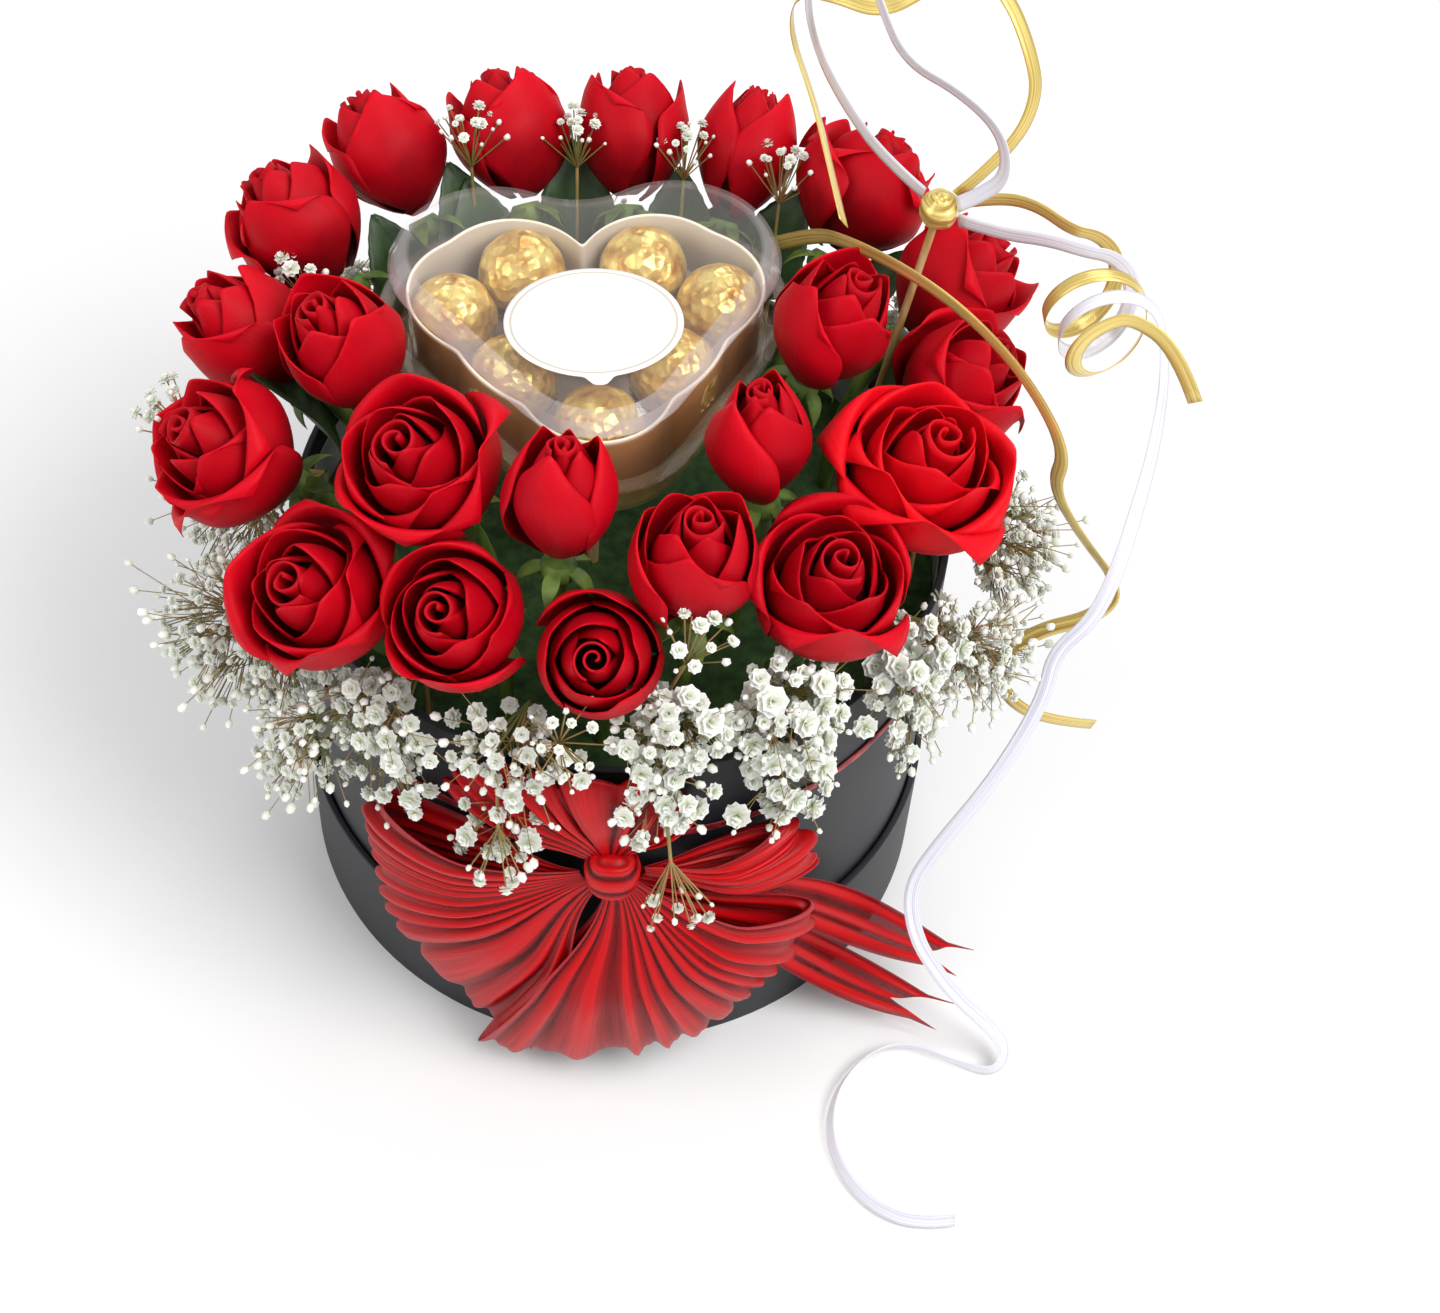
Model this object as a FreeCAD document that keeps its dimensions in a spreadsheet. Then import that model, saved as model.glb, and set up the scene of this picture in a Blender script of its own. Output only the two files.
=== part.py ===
import FreeCAD, Part

import os
from collections import namedtuple
from math import acos, atan2, cos, degrees, hypot, pi, radians, sin, sqrt, tan

import Sketcher
from FreeCAD import Placement, Rotation, Vector

# A round hat box of black paperboard that stands in its own lid, filled with red roses and
# baby's breath round a clear heart-shaped box of foil-wrapped chocolates, with a sheer bow on
# the front and curled gift ribbons on one side. Millimetres, Z up, origin under the middle of
# the lid, the bow at the front on -Y.

SIZES = (
    ("lid_diameter", 220.0, "outside of the lid that the drum stands in"),
    ("lid_height", 50.0, "rim of the lid"),
    ("board", 2.4, "wrapped paperboard"),
    ("sleeve_gap", 0.4, "drum inside the lid, all round"),
    ("drum_height", 157.6, "wall of the drum"),
    ("edge_round", 0.7, "wrapped edge of the board"),
    ("film", 0.5, "waterproof liner"),
    ("liner_gap", 0.3, "liner inside the drum"),
    ("liner_drop", 9.0, "liner edge below the drum rim"),
    ("foam_gap", 0.3, "foam inside the liner"),
    ("foam_drop", 26.0, "foam top below the drum rim"),
    ("stem_diameter", 5.0, "rose stem"),
    ("stem_depth", 60.0, "stem below the foam top"),
    ("stem_fit", 0.1, "hole round a stem, on its radius"),
    ("stem_bend", 22.0, "where a stem turns upright, above the foam top"),
    ("neck_length", 13.0, "straight stem under a bloom"),
    ("outer_ring", 28.0, "stems of the outer roses, in from the drum wall"),
    ("inner_ring", 54.0, "stems of the inner roses, in from the drum wall"),
    ("hip_radius", 5.6, "swelling under a bloom"),
    ("hip_height", 8.0, "swelling under a bloom"),
    ("sepal_length", 12.0, "sepal turned down under a bloom"),
    ("sepal_width", 5.0, "sepal at its widest"),
    ("bloom_radius", 19.5, "half-open rose, at its belly"),
    ("bloom_height", 46.0, "half-open rose"),
    ("petal", 0.7, "petal"),
    ("chocolate_radius", 14.3, "foil-wrapped chocolate"),
    ("chocolate_gap", 0.8, "between neighbouring chocolates"),
    ("heart_room", 2.6, "round the outer chocolates, to the outside of the box"),
    ("heart_height", 40.0, "closed chocolate box"),
    ("heart_rise", 35.0, "underside of the chocolate box above the drum rim"),
    ("heart_right", -12.0, "middle of the chocolate box"),
    ("heart_back", 19.0, "middle of the chocolate box"),
    ("heart_turn", 6.0, "chocolate box, turned to the left, in degrees"),
    ("notch_radius", 26.0, "hollow between the lobes of the heart"),
    ("clear_wall", 0.8, "formed clear plastic"),
    ("flange", 4.0, "flange of the chocolate box"),
    ("base_depth", 13.0, "lower shell of the chocolate box"),
    ("lid_seat_gap", 0.3, "between the two flanges"),
    ("lid_shoulder", 6.0, "sloped edge round the top of the clear lid"),
    ("insert_gap", 0.4, "formed insert inside the lower shell"),
    ("insert_height", 26.5, "wall of the formed insert"),
    ("pocket_floor", 1.2, "formed insert under a chocolate"),
    ("pocket_depth", 4.5, "recess that a paper cup stands in"),
    ("cup_height", 8.0, "paper cup"),
    ("cup_paper", 0.4, "paper cup"),
    ("cup_base_radius", 9.0, "paper cup"),
    ("cup_top_radius", 13.8, "paper cup"),
    ("label_length", 55.0, "oval sticker on the clear lid"),
    ("label_width", 46.0, "oval sticker on the clear lid"),
    ("label_forward", 12.0, "oval sticker, forward of the middle of the lid"),
    ("label_paper", 0.3, "oval sticker on the clear lid"),
    ("pick_diameter", 4.0, "wooden pick under the chocolate box"),
    ("pick_depth", 50.0, "pick below the foam top"),
    ("stalk_diameter", 1.8, "stalk of a baby's breath spray"),
    ("stalk_inset", 9.0, "stalk, in from the drum wall"),
    ("stalk_rise", 14.0, "fork of a spray above the drum rim"),
    ("twig_diameter", 1.0, "twig of a spray"),
    ("flower_radius", 4.8, "blossom of baby's breath"),
    ("waist_rise", 123.0, "narrow ribbon round the drum, above the table"),
    ("waist_width", 4.0, "narrow ribbon round the drum"),
    ("waist_cloth", 0.6, "narrow ribbon round the drum"),
    ("cloth_gap", 0.3, "ribbon off the drum"),
    ("bow_rise", 117.0, "knot of the bow, above the table"),
    ("knot_width", 18.0, "knot of the bow"),
    ("knot_tall", 20.0, "knot of the bow"),
    ("knot_deep", 15.0, "knot of the bow"),
    ("bow_cloth", 0.8, "gathered sheer cloth"),
    ("curl_width", 5.0, "curled gift ribbon"),
    ("curl_thickness", 0.6, "curled gift ribbon"),
    ("tie_radius", 6.5, "knot of the gift ribbons"),
    ("tie_pick_diameter", 2.5, "pick that carries the gift ribbons"),
)

doc = FreeCAD.newDocument("flower_box")
sheet = doc.addObject("Spreadsheet::Sheet", "sizes")
for row, (alias, value, meaning) in enumerate(SIZES, start=1):
    sheet.set("A%d" % row, meaning)
    sheet.set("B%d" % row, str(value))
    sheet.setAlias("B%d" % row, alias)
doc.recompute()

UP = Vector(0, 0, 1)
SUB_PARTS = []


def size(alias):
    """One driving dimension."""
    return float(sheet.get(alias))


def named(obj, label):
    """Gives a sub-part its label and keeps it for export."""
    obj.Label = label
    SUB_PARTS.append(obj)
    return obj


def feature(label, shape, placement=None):
    """A sub-part whose shape is worked out here."""
    obj = doc.addObject("Part::Feature", label)
    obj.Shape = shape
    if placement is not None:
        obj.Placement = placement
    return named(obj, label)


# Paperboard box

DRUM_RADIUS = "(sizes.lid_diameter / 2 - sizes.board - sizes.sleeve_gap)"
LINER_RADIUS = "(" + DRUM_RADIUS + " - sizes.board - sizes.liner_gap)"


def origin_plane(body, role):
    """One of a body's own origin planes."""
    return next(item for item in body.Origin.OriginFeatures if item.Role == role)


def round_board(label, outer, inner, height, level):
    """A padded disc, or a ring where `inner` is given, lifted to `level`."""
    body = doc.addObject("PartDesign::Body", label)
    sketch = body.newObject("Sketcher::SketchObject", label + "_outline")
    sketch.AttachmentSupport = (origin_plane(body, "XY_Plane"), [""])
    sketch.MapMode = "FlatFace"
    for name, radius in (("outer", outer), ("inner", inner)):
        if radius is None:
            continue
        start = 100.0 if name == "outer" else 90.0
        circle = sketch.addGeometry(Part.Circle(Vector(), UP, start), False)
        sketch.addConstraint(Sketcher.Constraint("Coincident", circle, 3, -1, 1))
        number = sketch.addConstraint(Sketcher.Constraint("Radius", circle, start))
        sketch.renameConstraint(number, name)
        sketch.setExpression("Constraints." + name, radius)
    pad = body.newObject("PartDesign::Pad", label + "_pad")
    pad.Profile = sketch
    pad.setExpression("Length", height)
    body.setExpression("Placement.Base.z", level)
    doc.recompute()
    return named(body, label), pad


def wrapped_edge(body, pad):
    """Rounds the two upper edges of a wall, where the paper wraps over the board."""
    top = pad.Shape.BoundBox.ZMax
    edges = ["Edge%d" % number for number, edge in enumerate(pad.Shape.Edges, start=1)
             if abs(edge.BoundBox.ZMin - top) < 0.01]
    rounded = body.newObject("PartDesign::Fillet", body.Label + "_wrap")
    rounded.Base = (pad, edges)
    rounded.setExpression("Radius", "sizes.edge_round")
    doc.recompute()


def paperboard_box():
    """The lid under the drum and the drum itself, each a wall and a panel."""
    lid_inside = "sizes.lid_diameter / 2 - sizes.board"
    wall, pad = round_board("base_lid_rim", "sizes.lid_diameter / 2", lid_inside,
                            "sizes.lid_height", "0")
    wrapped_edge(wall, pad)
    round_board("base_lid_panel", lid_inside, None, "sizes.board", "0")
    drum_inside = DRUM_RADIUS + " - sizes.board"
    wall, pad = round_board("drum_wall", DRUM_RADIUS, drum_inside, "sizes.drum_height",
                            "sizes.board")
    wrapped_edge(wall, pad)
    round_board("drum_floor", drum_inside, None, "sizes.board", "sizes.board")


def cylinder(name, radius, height, level):
    """A cylinder on the axis of the box, bound to the sheet."""
    solid = doc.addObject("Part::Cylinder", name)
    solid.setExpression("Radius", radius)
    solid.setExpression("Height", height)
    solid.setExpression("Placement.Base.z", level)
    return solid


def liner():
    """Thin cup that keeps the wet foam off the board."""
    height = "sizes.drum_height - sizes.board - sizes.liner_drop"
    outside = cylinder("liner_outside", LINER_RADIUS, height, "2 * sizes.board")
    inside = cylinder("liner_inside", LINER_RADIUS + " - sizes.film", height,
                      "2 * sizes.board + sizes.film")
    cut = doc.addObject("Part::Cut", "liner")
    cut.Base = outside
    cut.Tool = inside
    doc.recompute()
    named(cut, "liner")


paperboard_box()
liner()

drum_radius = size("lid_diameter") / 2 - size("board") - size("sleeve_gap")
drum_bore = drum_radius - size("board")
rim_level = size("board") + size("drum_height")
foam_top = rim_level - size("foam_drop")
foam_floor = 2 * size("board") + size("film")


def polar(bearing, reach, level):
    """Point at a compass bearing in degrees, from +X towards +Y, round the drum's axis."""
    return Vector(reach * cos(radians(bearing)), reach * sin(radians(bearing)), level)


# Heart-shaped chocolate box

heart_level = rim_level + size("heart_rise")
heart_place = Placement(Vector(size("heart_right"), size("heart_back"), heart_level),
                        Rotation(UP, size("heart_turn")))

# Middles of the chocolates, two, three, two and one, and of the heart's round ends, all counted
# in the distance between neighbouring chocolates.
CHOCOLATE_PLACES = ((0, 0.31), (-1.44, 0.51), (1.44, 0.51), (-0.665, 1.157), (0.665, 1.157),
                    (-0.85, -0.41), (0.85, -0.41), (0, -1.19))
LOBE_PLACE = (0.985, 0.714)
TIP_PLACE = (0, -0.816)
LOBE_REACH = 0.548
TIP_REACH = 0.45


def chocolate_pitch():
    """Distance between the middles of neighbouring chocolates."""
    return 2 * size("chocolate_radius") + size("chocolate_gap")


def heart_wire(grow, level):
    """Heart outline of arcs and two straight sides, moved out by `grow`, tip towards -Y."""
    pitch = chocolate_pitch()
    room = size("chocolate_radius") + size("heart_room")
    lobe = LOBE_REACH * pitch + room
    tip = TIP_REACH * pitch + room
    notch = size("notch_radius")
    lobe_mid = Vector(*LOBE_PLACE, 0) * pitch
    tip_mid = Vector(*TIP_PLACE, 0) * pitch
    notch_mid = Vector(0, lobe_mid.y + sqrt((lobe + notch) ** 2 - lobe_mid.x ** 2), 0)
    line = lobe_mid - tip_mid
    side_angle = atan2(line.y, line.x) - acos((tip - lobe) / line.Length)
    toward_notch = notch_mid - lobe_mid
    notch_angle = atan2(toward_notch.y, toward_notch.x)

    def on(middle, radius, angle):
        return middle + Vector(radius * cos(angle), radius * sin(angle), level)

    def mirror(point):
        return Vector(-point.x, point.y, point.z)

    low = on(tip_mid, tip + grow, side_angle)
    high = on(lobe_mid, lobe + grow, side_angle)
    crown = on(lobe_mid, lobe + grow, (side_angle + notch_angle) / 2)
    saddle = on(lobe_mid, lobe + grow, notch_angle)
    edges = [
        Part.Arc(mirror(low), on(tip_mid, tip + grow, -pi / 2), low),
        Part.LineSegment(low, high),
        Part.Arc(high, crown, saddle),
        Part.Arc(saddle, on(notch_mid, notch - grow, -pi / 2), mirror(saddle)),
        Part.Arc(mirror(saddle), mirror(crown), mirror(high)),
        Part.LineSegment(mirror(high), mirror(low)),
    ]
    return Part.Wire([edge.toShape() for edge in edges])


def heart_block(grow, bottom, top):
    """Upright solid of the heart outline."""
    return Part.Face(heart_wire(grow, bottom)).extrude(Vector(0, 0, top - bottom))


def heart_ring(outside, inside, bottom, top):
    """Upright heart-shaped wall."""
    return heart_block(outside, bottom, top).cut(heart_block(inside, bottom, top))


def heart_shell_top(grow, bottom, top, shoulder):
    """Upright sides that slope in round the top, as a formed lid does."""
    slope = top - shoulder
    sides = heart_block(grow, bottom, slope)
    middle = heart_wire(grow - shoulder / 3, top - shoulder / 3)
    cap = Part.makeLoft([heart_wire(grow, slope), middle, heart_wire(grow - shoulder, top)],
                        True, True)
    return sides.fuse(cap).removeSplitter()


def chocolate_places():
    """Middles of the chocolates in the heart's own frame."""
    return [(x * chocolate_pitch(), y * chocolate_pitch()) for x, y in CHOCOLATE_PLACES]


def chocolate_box():
    """Clear lower shell, formed insert, paper cups, chocolates, clear lid and oval sticker."""
    wall = size("clear_wall")
    depth = size("base_depth")
    brim = size("flange")
    lower = heart_block(0, 0, depth).cut(heart_block(-wall, wall, depth))
    lower = lower.fuse(heart_ring(brim, 0, depth - wall, depth)).removeSplitter()
    feature("heart_base", lower, heart_place)

    insert_floor = wall
    outline = -wall - size("insert_gap")
    deck = insert_floor + size("pocket_floor") + size("pocket_depth")
    insert = heart_block(outline, insert_floor, insert_floor + size("insert_height"))
    insert = insert.cut(heart_block(outline - wall, deck, insert_floor + size("insert_height")))
    seat = insert_floor + size("pocket_floor")
    cup_base = size("cup_base_radius")
    cup_slope = (size("cup_top_radius") - cup_base) / size("cup_height")
    mouth = cup_base + cup_slope * size("pocket_depth")
    pockets = [Part.makeCone(cup_base, mouth, size("pocket_depth"), Vector(x, y, seat))
               for x, y in chocolate_places()]
    insert = insert.cut(Part.makeCompound(pockets))
    feature("heart_insert", insert, heart_place)

    paper = size("cup_paper")
    cups = []
    chocolates = []
    ball = size("chocolate_radius")
    for x, y in chocolate_places():
        foot = Vector(x, y, seat)
        outside = Part.makeCone(cup_base, size("cup_top_radius"), size("cup_height"), foot)
        inside = Part.makeCone(cup_base - paper, size("cup_top_radius") - paper,
                               size("cup_height"), foot + UP * paper)
        cups.append(outside.cut(inside))
        chocolates.append(Part.makeSphere(ball, foot + UP * (paper + ball)))
    feature("chocolate_cups", Part.makeCompound(cups), heart_place)
    feature("chocolates", Part.makeCompound(chocolates), heart_place)

    seam = depth + size("lid_seat_gap")
    top = size("heart_height")
    outer = heart_shell_top(0, seam, top, size("lid_shoulder"))
    inner = heart_shell_top(-wall, seam, top - wall, size("lid_shoulder"))
    lid = outer.cut(inner).fuse(heart_ring(brim, 0, seam, seam + wall)).removeSplitter()
    feature("heart_lid", lid, heart_place)

    middle = Vector(0, -size("label_forward"), top)
    oval = Part.Ellipse(middle, size("label_length") / 2, size("label_width") / 2)
    sticker = Part.Face(Part.Wire(oval.toShape())).extrude(Vector(0, 0, size("label_paper")))
    feature("heart_label", sticker, heart_place)


chocolate_box()


def heart_reach(bearing):
    """Distance from the drum's axis to the heart outline at a bearing."""
    far = polar(bearing, size("lid_diameter"), heart_level)
    ray = Part.makeLine(Vector(0, 0, heart_level), far)
    outline = heart_wire(0, 0)
    outline.Placement = heart_place
    gap, pairs, info = ray.distToShape(outline)
    return max(hypot(first.x, first.y) for first, second in pairs)


# Roses: blooms of overlapping petals, each on its own stem

Grade = namedtuple("Grade", "girth height petals lip roll")
GRADES = {
    "bud": Grade(0.87, 1.0, 7, 0.66, 0.0),
    "small": Grade(1.0, 1.0, 8, 0.84, 0.0),
    "cup": Grade(1.1, 1.0, 9, 0.88, 2.0),
    "open": Grade(1.22, 0.98, 10, 0.92, 3.5),
    "full": Grade(1.36, 1.0, 11, 0.94, 4.5),
}
GOLDEN_ANGLE = 137.508
INNER_BELLY = 0.6
INNER_LIP = 0.86
SEPALS = 5
ROOT_OVERLAP = 0.8
INNER_SHARE = 0.75

# Where each rose stands: bearing in degrees, distance of its middle from the heart outline in
# bloom radii, height of its middle above the drum rim, lean outwards, turn about its own stem.
Rose = namedtuple("Rose", "bearing rows rise lean turn grade")
ROSES = (
    Rose(-93.5, 3.38, 47, 38, 20, "small"),
    Rose(-117.3, 3.24, 51, 34, 75, "cup"),
    Rose(-139.5, 3.87, 40, 34, 130, "open"),
    Rose(-167, 3.87, 48, 45, 10, "open"),
    Rose(171, 2.9, 52, 45, 60, "small"),
    Rose(150, 1.79, 60, 45, 95, "cup"),
    Rose(130.4, 1.9, 60, 48, 150, "small"),
    Rose(111.5, 2.26, 60, 48, 40, "small"),
    Rose(90.8, 1.91, 60, 48, 110, "small"),
    Rose(71.2, 1.72, 57, 45, 0, "bud"),
    Rose(50, 2.4, 55, 45, 55, "open"),
    Rose(26.3, 3.75, 53, 45, 25, "cup"),
    Rose(5.5, 3.83, 49, 40, 140, "cup"),
    Rose(-21.5, 3.66, 58, 15, 85, "full"),
    Rose(-51.5, 3.65, 51, 12, 35, "open"),
    Rose(-75.8, 2.85, 71, 2, 100, "small"),
    Rose(-103.5, 2.0, 84.5, -8, 5, "bud"),
    Rose(-137, 2.03, 75, 24, 65, "open"),
    Rose(-179, 1.66, 68, 24, 120, "small"),
    Rose(-44.7, 1.6, 75.5, -6, 15, "bud"),
    Rose(9, 1.66, 74, 18, 45, "small"),
)


def petal_band(heel, belly, height, lip, roll):
    """Section of a petal: an arc up its back from the heel, then a rolled lip where it has one."""
    skin = size("petal")
    waist = Vector(belly, 0, 0.5 * height)
    brow = Vector(belly * lip, 0, height - 0.3 * roll)
    back = Part.Arc(heel, waist, brow).toShape()
    centre = back.Curve.Center
    inset = (back.Curve.Radius - skin) / back.Curve.Radius

    def inner(point):
        return centre + (point - centre) * inset

    outside = [back]
    inside = [Part.Arc(inner(brow), inner(waist), inner(heel)).toShape()]
    tail = brow
    head = inner(brow)
    if roll > 0:
        tail = brow + Vector(roll, 0, -0.2 * roll)
        head = tail + Vector(0.3 * skin, 0, skin)
        crest = brow + Vector(0.45 * roll, 0, 0.28 * roll)
        outside.append(Part.Arc(brow, crest, tail).toShape())
        inside.insert(0, Part.Arc(head, crest + Vector(-0.2 * skin, 0, skin), inner(brow)).toShape())
    rim = Part.makeLine(tail, head)
    foot = Part.makeLine(inner(heel), heel)
    return Part.Face(Part.Wire(outside + [rim] + inside + [foot]))


def petal_solid(heel, belly, height, half_angle, lip, roll):
    """A petal section swung round the bloom and trimmed to a round-topped outline."""
    band = petal_band(heel, belly, height, lip, roll)
    band.rotate(Vector(), UP, -half_angle)
    swung = band.revolve(Vector(), UP, 2 * half_angle)
    half_width = 1.04 * (belly + roll) * sin(radians(min(half_angle, 88)))
    half_tall = 0.54 * height + 0.5 * roll
    middle = Vector(0, 0, 0.5 * height)
    top = middle + Vector(0, 0, half_tall)
    flank = middle + Vector(0, half_width, 0)
    if half_tall > half_width:
        outline = Part.Ellipse(top, flank, middle)
    else:
        outline = Part.Ellipse(flank, top, middle)
    blade = Part.Face(Part.Wire(outline.toShape())).extrude(Vector(2 * belly + 2 * roll, 0, 0))
    return swung.common(blade)


def spiral_heart(reach, height):
    """The rolled inner petal: a spiral wall of half turns up to `reach`, domed at the top."""
    step = 1.7
    skin = size("petal") + 0.2
    first = 1.2
    outside = []
    inside = []
    for half in range(1 + int((reach - skin - first) / step)):
        radius = first + step * half
        side = 1 if half % 2 == 0 else -1
        middle = Vector(0.0 if half % 2 == 0 else step, 0, 0)
        for edges, span in ((outside, radius + skin), (inside, radius)):
            edges.append(Part.Arc(middle + Vector(side * span, 0, 0),
                                  middle + Vector(0, side * span, 0),
                                  middle - Vector(side * span, 0, 0)).toShape())
    caps = [Part.makeLine(inside[0].Vertexes[0].Point, outside[0].Vertexes[0].Point),
            Part.makeLine(inside[-1].Vertexes[-1].Point, outside[-1].Vertexes[-1].Point)]
    wall = Part.Face(Part.Wire(Part.__sortEdges__(outside + inside + caps)))
    wall = wall.extrude(Vector(0, 0, 0.5 * height))
    wall.translate(Vector(0, 0, 0.5 * height))
    dome = Part.makeSphere(0.62 * height, Vector(0, 0, 0.36 * height))
    return wall.common(dome)


def bloom_solid(grade):
    """A rose head: a core, a spiral heart and petals at the golden angle, grown together."""
    girth = size("bloom_radius") * grade.girth
    height = size("bloom_height") * grade.height
    post = girth * INNER_BELLY * grade.lip * INNER_LIP - 1.2
    foot = 0.8 * size("hip_radius")
    cone = 0.12 * height
    shoulder = 0.42 * girth
    core = Part.makeCone(foot, shoulder, cone)
    core = core.fuse(Part.makeCylinder(shoulder, 0.2 * height, Vector(0, 0, cone)))
    core = core.fuse(Part.makeCylinder(post, 0.4 * height, Vector(0, 0, 0.3 * height)))
    petals = []
    for number in range(grade.petals):
        share = number / (grade.petals - 1)
        root = height * (0.28 - 0.22 * share)
        reach = foot + (shoulder - foot) * min(1.0, root / cone)
        heel = Vector(reach - ROOT_OVERLAP, 0, root)
        belly = girth * (INNER_BELLY + (1 - INNER_BELLY) * share)
        tall = height * (1.0 - 0.12 * share)
        lip = grade.lip * (INNER_LIP + (1 - INNER_LIP) * share)
        roll = grade.roll * max(0.0, 2 * share - 1)
        leaf = petal_solid(heel, belly, tall, 74 - 22 * share, lip, roll)
        leaf.rotate(Vector(), UP, GOLDEN_ANGLE * number)
        petals.append(leaf)
    return core.multiFuse(petals + [spiral_heart(post - 0.2, height)])


def collar_place(rose):
    """Placement of the sepals under a bloom: no sepal points straight at the chocolate box."""
    reach = heart_reach(rose.bearing) + rose.rows * size("bloom_radius")
    middle = polar(rose.bearing, reach, rim_level + rose.rise)
    lean = Rotation(UP, rose.bearing).multiply(Rotation(Vector(0, 1, 0), rose.lean))
    axis = lean.multVec(UP)
    foot = middle - axis * (size("bloom_height") * GRADES[rose.grade].height / 2)
    return Placement(foot, lean)


def rose_place(rose):
    """Placement of a bloom: its foot on its stem, its axis leaning outwards, turned about its axis."""
    place = collar_place(rose)
    return Placement(place.Base, place.Rotation.multiply(Rotation(UP, rose.turn)))


# Paths of straight runs and tangent arcs, for stems and ribbons

ARC_SHARE = 0.45


def rounded_path(points):
    """Wire through hand-chosen points whose corners are the largest tangent arcs that fit."""
    edges = []
    radii = []
    start = points[0]
    for before, corner, after in zip(points, points[1:], points[2:]):
        back = before - corner
        ahead = after - corner
        reach = ARC_SHARE * min(back.Length, ahead.Length)
        back.normalize()
        ahead.normalize()
        turn = pi - back.getAngle(ahead)
        radius = reach / tan(turn / 2)
        radii.append(radius)
        enter = corner + back * reach
        leave = corner + ahead * reach
        inward = back + ahead
        inward.normalize()
        top = corner + inward * (radius / cos(turn / 2) - radius)
        edges.append(Part.LineSegment(start, enter).toShape())
        edges.append(Part.Arc(enter, top, leave).toShape())
        start = leave
    edges.append(Part.LineSegment(start, points[-1]).toShape())
    return Part.Wire(edges), radii


def stem_points(rose):
    """A stem's route: down the bloom's axis, then upright into the foam."""
    place = rose_place(rose)
    axis = place.Rotation.multVec(UP)
    neck = place.Base - axis * (size("hip_height") + size("neck_length"))
    inner = hypot(place.Base.x, place.Base.y) < INNER_SHARE * drum_bore
    ring = drum_bore - size("inner_ring" if inner else "outer_ring")
    bend = polar(rose.bearing, ring, foam_top + size("stem_bend"))
    heel = polar(rose.bearing, ring - 2.0, foam_top - size("stem_depth"))
    return place.Base, neck, bend, heel


def collar_solid():
    """The swelling under a bloom with its five sepals, foot of the bloom at the origin."""
    hip = size("hip_radius")
    tall = size("hip_height")
    neck = size("stem_diameter") / 2
    swelling = Part.Face(Part.Wire([
        Part.makeLine(Vector(0, 0, -tall), Vector()),
        Part.makeLine(Vector(), Vector(0.8 * hip, 0, 0)),
        Part.Arc(Vector(0.8 * hip, 0, 0), Vector(hip, 0, -0.45 * tall), Vector(neck, 0, -tall)).toShape(),
        Part.makeLine(Vector(neck, 0, -tall), Vector(0, 0, -tall)),
    ])).revolve(Vector(), UP, 360)
    sepals = []
    for number in range(SEPALS):
        sepal = sepal_solid()
        sepal.rotate(Vector(), UP, 360 / SEPALS * number)
        sepals.append(sepal)
    return swelling.multiFuse(sepals)


def stem_solid(rose, collar):
    """A stem grown together with the collar that carries its bloom."""
    foot, neck, bend, heel = stem_points(rose)
    path, radii = rounded_path([foot, neck, bend, heel])
    axis = foot - neck
    axis.normalize()
    ring = Part.Wire(Part.Circle(foot, axis, size("stem_diameter") / 2).toShape())
    stem = path.makePipeShell([ring], True, False)
    seated = collar.copy()
    seated.Placement = collar_place(rose)
    return stem.fuse(seated)


def sepal_solid():
    """A pointed leaf that springs from the swelling and curls down beside the stem."""
    hip = size("hip_radius")
    length = size("sepal_length")
    root = Vector(0.7 * hip, 0, -0.2 * size("hip_height"))
    tip = root + Vector(0.75 * length, 0, -0.62 * length)
    crest = root + Vector(0.42 * length, 0, -0.12 * length)
    skin = Vector(0, 0, -0.8)
    band = Part.Face(Part.Wire([
        Part.Arc(root, crest, tip).toShape(),
        Part.makeLine(tip, tip + skin),
        Part.Arc(tip + skin, crest + skin, root + skin).toShape(),
        Part.makeLine(root + skin, root),
    ]))
    band.translate(Vector(0, -size("sepal_width") / 2, 0))
    strip = band.extrude(Vector(0, size("sepal_width"), 0))
    half = size("sepal_width") / 2
    leaf = Part.Face(Part.Wire([
        Part.Arc(root + Vector(0, -0.5 * half, 0), root + Vector(0.35 * length, -half, 0),
                 root + Vector(0.75 * length, -0.15, 0)).toShape(),
        Part.makeLine(root + Vector(0.75 * length, -0.15, 0), root + Vector(0.75 * length, 0.15, 0)),
        Part.Arc(root + Vector(0.75 * length, 0.15, 0), root + Vector(0.35 * length, half, 0),
                 root + Vector(0, 0.5 * half, 0)).toShape(),
        Part.makeLine(root + Vector(0, 0.5 * half, 0), root + Vector(0, -0.5 * half, 0)),
    ]))
    leaf.translate(Vector(0, 0, -length))
    return strip.common(leaf.extrude(Vector(0, 0, 2 * length)))


def roses():
    """Every bloom in its own node, and the stems together."""
    heads = {name: bloom_solid(grade) for name, grade in GRADES.items()}
    for number, rose in enumerate(ROSES, start=1):
        feature("rose_%02d" % number, heads[rose.grade], rose_place(rose))
    collar = collar_solid()
    feature("rose_stems", Part.makeCompound([stem_solid(rose, collar) for rose in ROSES]))


roses()

# Baby's breath: sprays that fork above the rim and hang over it

Spray = namedtuple("Spray", "bearing width top drop flowers")
SPRAYS = (
    Spray(-178, 20, 16, 34, 10),
    Spray(-153, 23, 18, 42, 14),
    Spray(-128, 20, 18, 42, 13),
    Spray(-106, 17, 18, 18, 10),
    Spray(-84, 17, 18, 14, 9),
    Spray(-63, 17, 18, 18, 10),
    Spray(-33, 22, 18, 40, 14),
    Spray(-8, 20, 18, 30, 12),
    Spray(37, 20, 16, 26, 9),
    Spray(101, 16, 16, 20, 8),
    Spray(140, 20, 16, 26, 9),
)
FORKS = (-10.0, 0.0, 10.0)


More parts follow.
